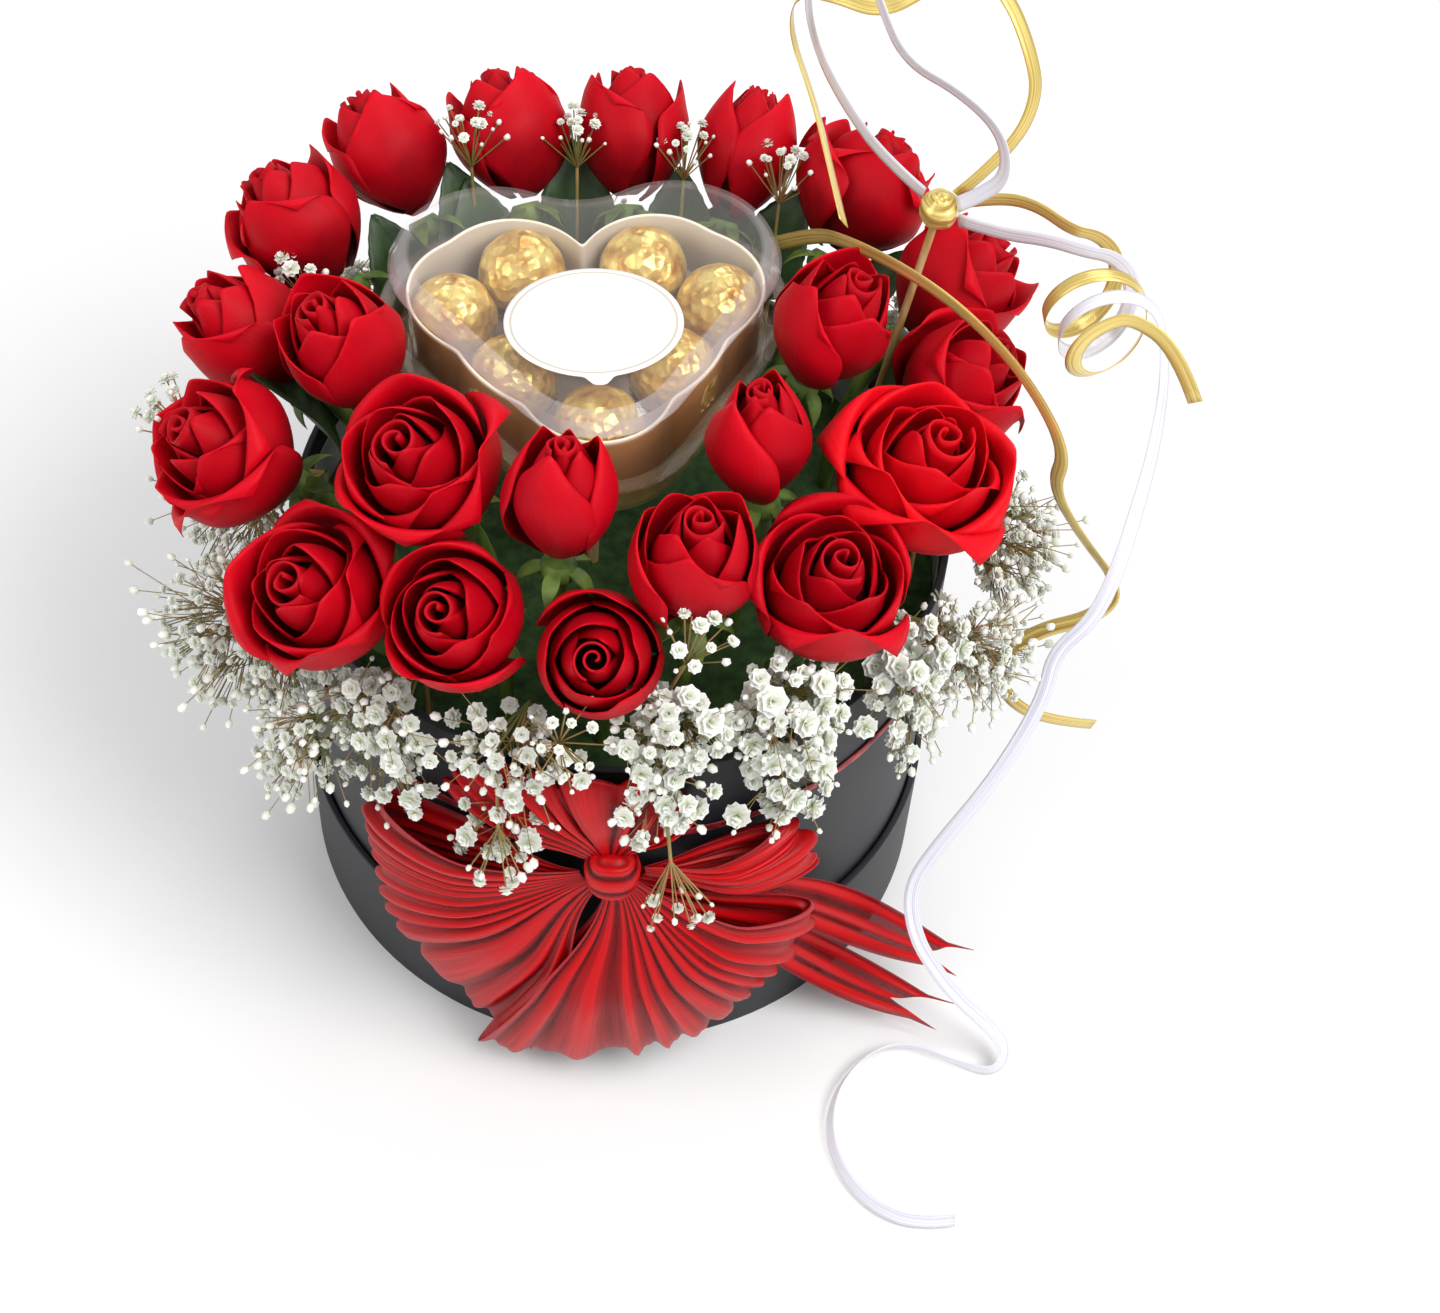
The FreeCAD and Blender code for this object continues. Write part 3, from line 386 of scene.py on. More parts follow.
@dataclass(frozen=True)
class Organza(Finish):
    """Sheer polyester organza: thin crisp cloth, denser where folds pile up, with painted light on its
    ridges, painted shade in its valleys, and dull red hems.
    """

    # fold is painted shade for the valleys; face is the cloth's red with painted light on the ridges.
    fold: str = "#4A0409"
    face: str = "#CC050E"
    hem: str = "#B02A32"
    sheer: tuple[float, float] = (0.7, 0.97)
    thread_mm: float = 1.1
    streak_mm: float = 30.0
    spread: tuple[float, float] = (0.25, 0.85)

    def wire(self, tree: Tree, shader: bpy.types.Node) -> None:
        """Fold height sets the red, as painted light on ridges and painted shade in valleys, and how sheer
        it is; threads, drawn coarser than real, streak it.

        Args:
            tree: node tree of the material.
            shader: its Principled shader.
        """
        streaks = drawn(tree, own_uv(tree), (per_metre(self.thread_mm), per_metre(self.streak_mm), 1.0))
        thread = noise(tree, streaks, 1.0)
        # This mark is painted light and shade: bright on the crests of the folds, dark in their valleys.
        mixed = scaled_sum(tree, thread, 0.45, mark_value(tree, "ridge"))
        low, high = self.spread
        tone = ramp(tree, mixed, ((low, self.fold), (high, self.face)))
        trimmed = add_node(tree, "ShaderNodeMix", {0: mark_value(tree, "hem"), 6: tone, 7: linear(self.hem)},
                           data_type="RGBA")
        thin, piled = self.sheer
        dense = add_node(tree, "ShaderNodeMapRange", {"Value": mixed, "From Min": low, "From Max": high,
                                                      "To Min": thin, "To Max": piled})
        feed(tree, shader, {
            "Base Color": trimmed.outputs[2],
            "Normal": lifted(tree, thread, 0.5, 0.4),
            "Alpha": dense.outputs["Result"],
            "Roughness": 0.36,
            "Specular IOR Level": 0.22})


@dataclass(frozen=True)
class CurlRibbon(Finish):
    """Extruded polypropylene curling ribbon: silky, with fine ribs along its length."""

    shade: str
    face: str
    metal: float
    rough: float = 0.28

    def wire(self, tree: Tree, shader: bpy.types.Node) -> None:
        """Ribs and streaks run along the ribbon's UV, many across its width.

        Args:
            tree: node tree of the material.
            shader: its Principled shader.
        """
        rib = noise(tree, drawn(tree, own_uv(tree), (16.0, 9.0, 1.0)), 1.0, 2.0)
        feed(tree, shader, {
            "Base Color": ramp(tree, rib, ((0.32, self.shade), (0.58, self.face))),
            "Normal": lifted(tree, rib, 0.35, 0.3),
            "Metallic": self.metal,
            "Roughness": self.rough,
            "Coat Weight": 0.3})


# Deep matt black that shows the round form only by soft light.
BLACK_BOARD = WrappedBoard("black paper wrapped board")
# Velvet red, with painted shade that falls to near black between petals.
RED_PETAL = RosePetal("red rose petal")
# The one lighter red rose on the right.
BRIGHT_PETAL = RosePetal("bright red rose petal", fold="#5A0008", body="#C60012", lip="#EA0A1C")
# Fresh green with paler streaks along the stems.
STEM_GREEN = Mottled("rose stem", "#3C5A1C", "#6C8436", 6.0, 1.2, 0.55, 0.15, 4.0)
# Dark green ground behind the blooms.
LEAF_GREEN = Mottled("rose leaf", "#1C3416", "#38562A", 9.0, 1.4, 0.5, 0.25, 3.0)
# Chalk white tips over a greenish heart.
BLOSSOM_WHITE = Graded("baby's breath petal", "heart",
                       ((0.0, "#C9D3A4"), (0.45, "#EEF2E4"), (1.0, "#FCFCFA")), 0.7, 1.5, 0.2, 0.2)
# Dry olive and straw lines between the blossoms.
TWIG_OLIVE = Mottled("baby's breath twig", "#6E7638", "#B48A58", 14.0, 1.0, 0.6, 0.05)
# A glassy lid, seen mostly by the painted reflection, a white haze, on its slopes.
CLEAR_PET = ClearSheet("clear formed PET")
# An amber cast on the lower shell.
SMOKE_PET = ClearSheet("amber formed PET", "#C89A5C", 0.08)
# Silver grey inside, a bright cream lip and amber outside.
TRAY_PLASTIC = Graded("pearl cream formed tray", "side",
                      ((0.0, "#A8A19A"), (0.42, "#C9BFB2"), (0.5, "#FFF2DC"), (0.62, "#BE8248"),
                       (1.0, "#7C431C")), 0.3, 5.0, 0.15, 0.0, 0.4)
# Sparkling creases on warm gold.
GOLD_FOIL = CrumpledFoil("crumpled gold foil")
# Brown pleats under the chocolates, with painted shade in each valley and painted light on each ridge.
CUP_PAPER = Graded("glassine cup paper", "pleat", ((0.0, "#84561F"), (1.0, "#C8984A")), 0.45, 2.0)
# A bare white oval with a thin beige line.
LABEL_PAPER = Graded("gloss label paper", "rim",
                     ((0.0, "#FBFBFA"), (0.9, "#FBFBFA"), (0.915, "#B8AE9C"), (0.935, "#B8AE9C"),
                      (0.95, "#FAFAF8")), 0.25, 3.0, 0.02, 0.0, 0.5)
# Red ridges with painted light over dark, half clear valleys with painted shade.
RED_ORGANZA = Organza("red organza")
# A thin red line round the black drum.
RED_CORD = Mottled("rolled red ribbon", "#6A0C12", "#C83440", 5.0, 1.4, 0.45, 0.3)
# Satin gold streaks.
GOLD_RIBBON = CurlRibbon("gold curling ribbon", "#B98A3C", "#F2DE84", 0.35)
# Pearly white with a lilac shade.
WHITE_RIBBON = CurlRibbon("white curling ribbon", "#C9C6DA", "#F2F3FA", 0.0)
# Dark wet green, seen only in the gaps.
WET_FOAM = Mottled("wet floral foam", "#24401C", "#3E5E2E", 4.0, 0.8, 0.9, 0.4)
# A pale, half clear edge inside the rim.
LINER_FILM = Mottled("clear liner film", "#C8D0CE", "#E4E8E6", 20.0, 6.0, 0.2, 0.3, 1.0, 0.45)
# Straw-coloured sticks.
BAMBOO = Mottled("split bamboo", "#B08A52", "#D8BC86", 3.0, 0.6, 0.5, 0.1, 12.0)
# Near white ground that only carries the shadow.
PALE_FLOOR = Mottled("pale studio floor", "#F1F1F2", "#F6F6F6", 400.0, 3.0, 0.8, 0.02)


# Shapes as whole arrays


@dataclass
class Shape:
    """Points in millimetres with blocks of faces, each block with the number of its finish."""

    points: Array
    faces: list[Faces]
    tints: list[int] = field(default_factory=lambda: [0])
    uv: Array | None = None
    marks: dict[str, Array] = field(default_factory=dict)

    def moved(self, turn: Array, shift: Array) -> "Shape":
        """The same shape turned by a 3x3 matrix, then shifted."""
        return Shape(self.points @ turn.T + shift, self.faces, self.tints, self.uv, self.marks)


def merged(shapes: Sequence[Shape]) -> Shape:
    """Puts shapes together into one, marks and UVs kept, missing ones zero.

    Args:
        shapes: the shapes, in order.

    Returns:
        One shape with all their points and faces.
    """
    starts = np.cumsum([0] + [len(shape.points) for shape in shapes])
    names = {name for shape in shapes for name in shape.marks}
    return Shape(
        np.concatenate([shape.points for shape in shapes]),
        [block + start for shape, start in zip(shapes, starts) for block in shape.faces],
        [tint for shape in shapes for tint in shape.tints],
        np.concatenate([np.zeros((len(shape.points), 2)) if shape.uv is None else shape.uv
                        for shape in shapes]),
        {name: np.concatenate([shape.marks.get(name, np.zeros(len(shape.points))) for shape in shapes])
         for name in names})


def unit(vectors: Array) -> Array:
    """Vectors of length one along the last axis."""
    return vectors / np.maximum(np.linalg.norm(vectors, axis=-1, keepdims=True), 1e-9)


def smooth(value: Array) -> Array:
    """Smooth step from 0 to 1 over the unit interval."""
    held = np.clip(value, 0.0, 1.0)
    return held * held * (3 - 2 * held)


def quads(index: Faces) -> Faces:
    """Quads of grids of point numbers, shape (grids, rows, columns)."""
    corners = [index[:, :-1, :-1], index[:, :-1, 1:], index[:, 1:, 1:], index[:, 1:, :-1]]
    return np.stack(corners, -1).reshape(-1, 4)


def ring_quads(index: Faces) -> Faces:
    """Quads of grids of point numbers whose columns close on themselves."""
    return quads(np.concatenate([index, index[:, :, :1]], axis=2))


def other_axis(directions: Array) -> Array:
    """For each direction an axis far from it: Z, or X where the direction is steep."""
    return np.where(np.abs(directions[:, 2:]) < 0.9, [[0.0, 0.0, 1.0]], [[1.0, 0.0, 0.0]])


def distance_along(points: Array) -> Array:
    """Distance of each point of a line from its first, along the line."""
    return np.concatenate([[0.0], np.cumsum(np.linalg.norm(np.diff(points, axis=0), axis=1))])


def polar(radius: Any, angle: Any, level: Any) -> Array:
    """Points at a radius and an angle round Z, at a level; the three are broadcast together."""
    return np.stack(np.broadcast_arrays(radius * np.cos(angle), radius * np.sin(angle), level), -1)


def uv_grid(across: Array, along: Array) -> Array:
    """Texture places from two values that are broadcast together."""
    return np.stack(np.broadcast_arrays(across, along), -1)


def ball_rays(rows: int, columns: int) -> tuple[Array, Array, Array]:
    """Angles from the top, angles round and unit rays of a ball, the top row first.

    Args:
        rows: number of rings from the top to the bottom.
        columns: number of points round each ring.

    Returns:
        Column of angles from the top, row of angles round, and rays of shape (rows, columns, 3).
    """
    lat = np.linspace(0.0, np.pi, rows)[:, None]
    lon = np.linspace(0.0, 2 * np.pi, columns, endpoint=False)[None, :]
    return lat, lon, polar(np.sin(lat), lon, np.cos(lat))


def shell(middle: Array, thickness: float | Array, uv: Array | None = None,
          marks: dict[str, Array] | None = None) -> Shape:
    """Closed thin sheets: each grid is moved half a thickness both ways along its normal
    (columns x rows), and the two sides are joined along the four edges.

    Args:
        middle: points of the middle surfaces, shape (sheets, rows, columns, 3).
        thickness: in millimetres, one number or one for each point.
        uv: texture places of the middle points.
        marks: values of the middle points.

    Returns:
        The closed sheets as one shape.
    """
    sheets, rows, columns, _ = middle.shape
    normal = unit(np.cross(np.gradient(middle, axis=2), np.gradient(middle, axis=1)))
    half = 0.5 * np.broadcast_to(thickness, middle.shape[:3])[..., None] * normal
    points = np.stack([middle + half, middle - half], axis=1).reshape(-1, 3)
    index = np.arange(sheets * 2 * rows * columns).reshape(sheets, 2, rows, columns)
    front, back = index[:, 0], index[:, 1]
    runs = ((front[:, 0], back[:, 0]), (front[:, -1, ::-1], back[:, -1, ::-1]),
            (front[:, :, -1], back[:, :, -1]), (front[:, ::-1, 0], back[:, ::-1, 0]))
    edges = [np.stack([one[:, 1:], one[:, :-1], two[:, :-1], two[:, 1:]], -1).reshape(-1, 4)
             for one, two in runs]

    def twice(values: Array, width: int) -> Array:
        """Values of the middle points, given to both sides.

        Args:
            values: one for each point, or fewer that are broadcast.
            width: numbers in each value.

        Returns:
            The values in the order of the points.
        """
        grid = np.broadcast_to(values, (sheets, rows, columns) + ((width,) if width > 1 else ()))
        return np.stack([grid, grid], axis=1).reshape((-1, width) if width > 1 else -1)

    return Shape(points, [np.concatenate([quads(front), quads(back)[:, ::-1], *edges])], [0],
                 None if uv is None else twice(uv, 2),
                 {name: twice(value, 1) for name, value in (marks or {}).items()})


def closed_rings(points: Array, marks: dict[str, Array] | None = None) -> Shape:
    """A grid of rings joined row to row, its columns closed on themselves.

    Args:
        points: shape (rows, columns, 3), the columns going round and the rows going up.
        marks: values of the points, shape (rows, columns).

    Returns:
        The surface; a first or last ring drawn to one place closes its end.
    """
    rows, columns, _ = points.shape
    index = np.arange(rows * columns).reshape(1, rows, columns)
    spread = {name: np.broadcast_to(value, (rows, columns)).reshape(-1)
              for name, value in (marks or {}).items()}
    return Shape(points.reshape(-1, 3), [ring_quads(index)], [0], None, spread)


def rods(starts: Array, ends: Array, radius: float, sides: int = 3, tint: int = 0) -> Shape:
    """Straight round twigs between pairs of points: a ring of a few sides at each end.

    Args:
        starts: first points, shape (rods, 3).
        ends: last points, shape (rods, 3).
        radius: in millimetres.
        sides: number of sides.
        tint: finish number.

    Returns:
        All rods, open at their ends, as one shape.
    """
    along = unit(ends - starts)
    first = unit(np.cross(along, other_axis(along)))
    second = np.cross(along, first)
    angle = np.linspace(0, 2 * np.pi, sides, endpoint=False)[None, :, None]
    ring = radius * (first[:, None] * np.cos(angle) + second[:, None] * np.sin(angle))
    points = np.stack([starts[:, None] + ring, ends[:, None] + ring], axis=1)
    index = np.arange(points.size // 3).reshape(len(starts), 2, sides)
    return Shape(points.reshape(-1, 3), [ring_quads(index)], [tint])


def turn_z(angle: float) -> Array:
    """Matrix that turns about Z by an angle in degrees."""
    cos, sin = np.cos(np.radians(angle)), np.sin(np.radians(angle))
    return np.array([[cos, -sin, 0], [sin, cos, 0], [0, 0, 1.0]])


def turn_y(angle: float) -> Array:
    """Matrix that turns about Y by an angle in degrees."""
    cos, sin = np.cos(np.radians(angle)), np.sin(np.radians(angle))
    return np.array([[cos, 0, sin], [0, 1.0, 0], [-sin, 0, cos]])


def put_in_scene(name: str, data: Any) -> bpy.types.Object:
    """A new object of the scene that holds a mesh, a lamp or a camera.

    Args:
        name: name of the object.
        data: what it holds.

    Returns:
        The object, at the origin.
    """
    made = bpy.data.objects.new(name, data)
    bpy.context.scene.collection.objects.link(made)
    return made


def make_piece(name: str, shape: Shape, finishes: Sequence[Finish],
               replaces: Sequence[str] = (), body: Body = Body.DRUM) -> bpy.types.Object:
    """Puts a shape into a Blender object that rides on a body.

    Args:
        name: name of the piece.
        shape: its points, faces, UVs and marks.
        finishes: its materials, in the order of the shape's tints.
        replaces: solids that it stands for.
        body: the body it rides on.

    Returns:
        The new object, at the origin.
    """
    mesh = bpy.data.meshes.new(name)
    mesh.vertices.add(len(shape.points))
    mesh.vertices.foreach_set("co", (shape.points * MM).astype(np.float32).ravel())
    corners = np.concatenate([block.ravel() for block in shape.faces])
    sizes = np.concatenate([np.full(len(block), block.shape[1]) for block in shape.faces])
    tints = np.concatenate([np.full(len(block), tint) for block, tint in zip(shape.faces, shape.tints)])
    mesh.loops.add(len(corners))
    mesh.loops.foreach_set("vertex_index", corners.astype(np.int32))
    mesh.polygons.add(len(sizes))
    mesh.polygons.foreach_set("loop_start", (np.cumsum(sizes) - sizes).astype(np.int32))
    mesh.polygons.foreach_set("material_index", tints.astype(np.int32))
    mesh.update(calc_edges=True)
    if shape.uv is not None:
        layer = mesh.uv_layers.new(name="UVMap")
        layer.data.foreach_set("uv", shape.uv[corners].astype(np.float32).ravel())
    for mark, values in shape.marks.items():
        mesh.attributes.new(mark, "FLOAT", "POINT").data.foreach_set("value", values.astype(np.float32))
    for finish in finishes:
        mesh.materials.append(finish.material())
    mesh.validate()
    mesh.shade_smooth()
    piece = put_in_scene(name, mesh)
    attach(piece, body.value)
    if replaces:
        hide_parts(*replaces)
    log.info("%s: %d faces on %s", name, len(sizes), body.value)
    return piece


def dress(nodes: Sequence[str], finish: Finish) -> None:
    """Gives solids that stay in view their finish.

    Args:
        nodes: names of the solids.
        finish: the finish that they take.
    """
    for name in nodes:
        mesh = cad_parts[name].data
        mesh.materials.clear()
        mesh.materials.append(finish.material())
        log.info("%s: %s", name, finish.name)


# Studio


@dataclass
class Studio:
    """Pale floor, soft lamps and the camera at the picture's angle."""

    eye: tuple[float, float, float] = (0.0, -554.6, 804.05)
    tilt: tuple[float, float, float] = (37.362, -2.839, 0.05)
    lens: float = 65.0
    sensor: float = 36.0
    floor_half: float = 4000.0
    lamps: tuple[tuple[str, tuple[float, float, float], float, float], ...] = (
        ("key", (900.0, -700.0, 1700.0), 1100.0, 30.0),
        ("fill", (-1300.0, -600.0, 1300.0), 1400.0, 12.0),
        ("back", (300.0, 1500.0, 1500.0), 1200.0, 12.0),
    )
    ambient: float = 0.42

    def lay_floor(self) -> None:
        """A flat square under the box, which is no part of it."""
        half = self.floor_half
        corners = np.array([[-half, -half, 0], [half, -half, 0], [half, half, 0], [-half, half, 0]])
        mesh = bpy.data.meshes.new("floor")
        mesh.from_pydata((corners * MM).tolist(), [], [(0, 1, 2, 3)])
        mesh.materials.append(PALE_FLOOR.material())
        put_in_scene("floor", mesh)

    def hang_lamps(self) -> None:
        """Square lamps that look at the middle of the rim, and an even white surround."""
        aim = Vector((0.0, 0.0, RIM_LEVEL * MM))
        for name, place, size, power in self.lamps:
            lamp = bpy.data.lights.new(name, "AREA")
            lamp.size = size * MM
            lamp.energy = power
            light = put_in_scene(name, lamp)
            light.location = np.array(place) * MM
            light.rotation_euler = (aim - light.location).to_track_quat("-Z", "Y").to_euler()
        world = bpy.data.worlds.new("studio")
        world.use_nodes = True
        feed(world.node_tree, world.node_tree.nodes["Background"],
             {"Color": linear("#FFFFFF"), "Strength": self.ambient})
        bpy.context.scene.world = world

    def set_camera(self) -> None:
        """The camera that was fitted to the picture."""
        view = bpy.data.cameras.new("camera")
        view.lens = self.lens
        view.sensor_width = self.sensor
        camera = put_in_scene("camera", view)
        camera.location = np.array(self.eye) * MM
        camera.rotation_euler = Euler(np.radians(self.tilt))
        bpy.context.scene.camera = camera

    def build(self) -> None:
        """Makes floor, lamps, surround and camera."""
        bpy.context.scene.view_settings.view_transform = "Standard"
        self.lay_floor()
        self.hang_lamps()
        self.set_camera()


# Hat box


@dataclass
class HatBox:
    """The lid under the drum, the drum, its liner, foam and picks."""

    boards: tuple[str, ...] = ("base_lid_rim", "base_lid_panel", "drum_wall", "drum_floor")
    picks: tuple[str, ...] = ("heart_picks", "ribbon_pick")

    def dress(self) -> None:
        """The solids have the right shape and only take their finishes."""
        dress(self.boards, BLACK_BOARD)
        dress(("liner",), LINER_FILM)
        dress(("floral_foam",), WET_FOAM)
        dress(self.picks, BAMBOO)


# Chocolates


@dataclass
class ChocolateHeart:
    """Clear heart-shaped box with a formed tray of foil-wrapped chocolates."""

    middle: tuple[float, float, float] = (-12.0, 19.0, 195.0)
    turn: float = 6.0
    ball: float = 14.3
    pitch: float = 29.4
    seat: float = 2.4
    deck: float = 6.5
    rim: float = 27.3
    wall_in: float = 1.4
    hug: float = 1.1
    grow: float = 12.0
    lobe: tuple[float, float] = (29.0, 21.0)
    tip: tuple[float, float] = (0.0, -24.0)
    lobe_radius: float = 30.6
    tip_radius: float = 27.4
    wave: float = 0.4
    mean_power: int = 30
    mean_trim: float = 0.96
    lid_top: float = 40.0
    label_half: tuple[float, float] = (27.5, 23.0)
    label_forward: float = 12.0
    label_top: float = 0.3
    label_foot: float = 0.02
    tab: float = 3.2
    places: tuple[tuple[float, float], ...] = (
        (0, 0.31), (-1.44, 0.51), (1.44, 0.51), (-0.665, 1.157), (0.665, 1.157),
        (-0.85, -0.41), (0.85, -0.41), (0, -1.19))
    cup_base: float = 9.0
    cup_flare: float = 4.4
    cup_height: float = 8.0
    cup_pleats: int = 28
    cup_paper: float = 0.3
    foil_planes: int = 90

    def seated(self, shape: Shape) -> Shape:
        """A shape of the box's own frame, put where the box is."""
        return shape.moved(turn_z(self.turn), np.array(self.middle))

    def centres(self) -> Array:
        """Middles of the chocolates in plan, in the box's own frame."""
        return np.array(self.places) * self.pitch

    def round_reach(self, bearing: Array, spots: Array, radii: Array) -> Array:
        """Far side of a set of circles at each bearing, run together by a high power mean.

        Args:
            bearing: angles in radians.
            spots: middles of the circles, shape (circles, 2).
            radii: radius of each circle.

        Returns:
            Distance from the origin at each bearing.
        """
        ray = np.stack([np.cos(bearing), np.sin(bearing)], -1)
        ahead = ray @ spots.T
        aside = ray[:, :1] * spots[:, 1] - ray[:, 1:] * spots[:, 0]
        chord = np.sqrt(np.maximum(radii ** 2 - aside ** 2, 0.0))
        far = np.where(chord > 0, np.maximum(ahead + chord, 1.0), 1.0)
        return (far ** self.mean_power).sum(-1) ** (1 / self.mean_power) * self.mean_trim

    def tray_reach(self, bearing: Array) -> Array:
        """Outline of the tray: the heart of the lid, waved a little by the balls that it hugs.

        Args:
            bearing: angles in radians.

        Returns:
            Distance from the heart's middle at each bearing.
        """
        share = np.linspace(0.0, 1.0, 9)[:, None]
        right = np.array(self.lobe) * (1 - share) + np.array(self.tip) * share
        spots = np.concatenate([right, right * np.array([-1.0, 1.0])])
        radii = np.tile(self.lobe_radius + (self.tip_radius - self.lobe_radius) * share[:, 0], 2)
        heart = self.round_reach(bearing, spots, radii)
        grown = np.full(len(self.places), self.ball + self.hug + self.grow)
        balls = self.round_reach(bearing, self.centres(), grown) - self.grow
        return (1 - self.wave) * heart + self.wave * balls

    def tray(self) -> Shape:
        """Tray: a wall profile of steps from the outline, levels and marks, carried round the wavy outline,
        and a deck drawn in to the middle.

        Returns:
            The tray, in the box's own frame.
        """
        bearing = np.linspace(0, 2 * np.pi, 240, endpoint=False)
        reach = self.tray_reach(bearing)
        profile = np.array([
            (-self.wall_in, self.deck, 0.0), (-1.1, 18.0, 0.25), (-0.8, self.rim - 0.6, 0.42),
            (-0.3, self.rim, 0.5), (0.35, self.rim - 0.2, 0.5), (0.5, self.rim - 1.4, 0.6),
            (-0.2, 15.0, 0.8), (-0.7, 1.0, 1.0)])
        radius = reach[None, :] + profile[:, :1]
        wall = polar(radius, bearing, profile[:, 1:2])
        sides = closed_rings(wall[::-1], {"side": profile[::-1, 2:]})
        share = np.linspace(0.0, 1.0, 8)[:, None]
        floor = polar((reach[None, :] - self.wall_in) * share, bearing, self.deck)
        return merged([sides, closed_rings(floor[::-1], {"side": np.array(0.1)})])

    def foil_balls(self) -> Shape:
        """Each ball is the inside of many tangent planes: its reach is the least of plane distance
        over the cosine, which leaves flats and creases like pressed foil.

        Returns:
            All chocolates, in the box's own frame.
        """
        _, _, ray = ball_rays(40, 64)
        rng = np.random.default_rng(8)
        balls = []
        for x, y in self.centres():
            planes = unit(rng.normal(size=(self.foil_planes, 3)))
            stand = self.ball * rng.uniform(0.955, 1.0, self.foil_planes)
            cosine = ray @ planes.T
            reach = np.where(cosine > 0.2, stand / np.maximum(cosine, 0.2), np.inf).min(-1)
            reach = np.minimum(reach, self.ball)
            points = ray * reach[..., None] + np.array([x, y, self.seat + self.ball])
            balls.append(closed_rings(points[::-1]))
        return merged(balls)

    def cups(self) -> Shape:
        """Pleated cups: a flared wall whose radius ripples round it.

        Returns:
            All cups, in the box's own frame.
        """
        angle = np.linspace(0.0, 2 * np.pi, 168, endpoint=False)[None, :]
        climb = np.linspace(0.0, 1.0, 6)[:, None]
        ripple = np.cos(self.cup_pleats * angle)
        radius = self.cup_base + self.cup_flare * climb + (0.1 + 0.35 * climb) * ripple
        wall = polar(radius, angle, self.seat - self.cup_paper + self.cup_height * climb)
        wall = np.concatenate([wall, wall[:, :1]], axis=1)[None]
        # The pleat mark is painted light and shade: lighter where the paper folds out, darker where it folds
        # in.
        pleat = np.concatenate([0.5 + 0.5 * ripple, 0.5 + 0.5 * ripple[:, :1]], axis=1)
        cup = shell(wall, self.cup_paper, marks={"pleat": pleat})
        return merged([cup.moved(np.eye(3), np.array([x, y, 0.0])) for x, y in self.centres()])

    def label(self) -> Shape:
        """Oval sticker with a small pull tab: an oval whose reach has a bump at its front.

        Returns:
            The sticker, in the box's own frame.
        """
        angle = np.linspace(0.0, 2 * np.pi, 160, endpoint=False)
        tab = self.tab * np.exp(-((angle - 1.5 * np.pi) / 0.13) ** 4)
        share = np.array([0.0, 0.35, 0.7, 0.88, 0.9, 0.915, 0.935, 0.95, 1.0, 1.0])[:, None]
        level = np.array([self.label_top] * (len(share) - 1) + [self.label_foot])[:, None] + self.lid_top
        half_x, half_y = self.label_half
        x = share * half_x * np.cos(angle)
        y = share * half_y * np.sin(angle) - self.label_forward - np.where(share > 0.96, tab, 0.0)
        points = np.stack(np.broadcast_arrays(x, y, level), -1)
        return closed_rings(points[::-1], {"rim": share[::-1]})

    def build(self) -> None:
        """Makes the tray, cups, chocolates and label, and dresses the clear shells."""
        make_piece("tray", self.seated(self.tray()), [TRAY_PLASTIC], ["heart_insert"])
        make_piece("paper_cups", self.seated(self.cups()), [CUP_PAPER], ["chocolate_cups"])
        make_piece("foil_chocolates", self.seated(self.foil_balls()), [GOLD_FOIL],
                   ["chocolates"])
        make_piece("oval_label", self.seated(self.label()), [LABEL_PAPER], ["heart_label"],
                   Body.LID)
        dress(("heart_lid",), CLEAR_PET)
        dress(("heart_base",), SMOKE_PET)


# Roses


class Grade(Enum):
    """How far a bloom has opened: girth, petals, lip closing, roll of the lip, fall of the outer petals."""

    BUD = (0.87, 8, 0.58, 0.8, 0.02)
    SMALL = (1.0, 10, 0.80, 2.2, 0.07)
    CUP = (1.1, 11, 0.86, 3.4, 0.09)
    OPEN = (1.22, 12, 0.93, 4.8, 0.11)
    FULL = (1.36, 13, 0.96, 5.8, 0.12)


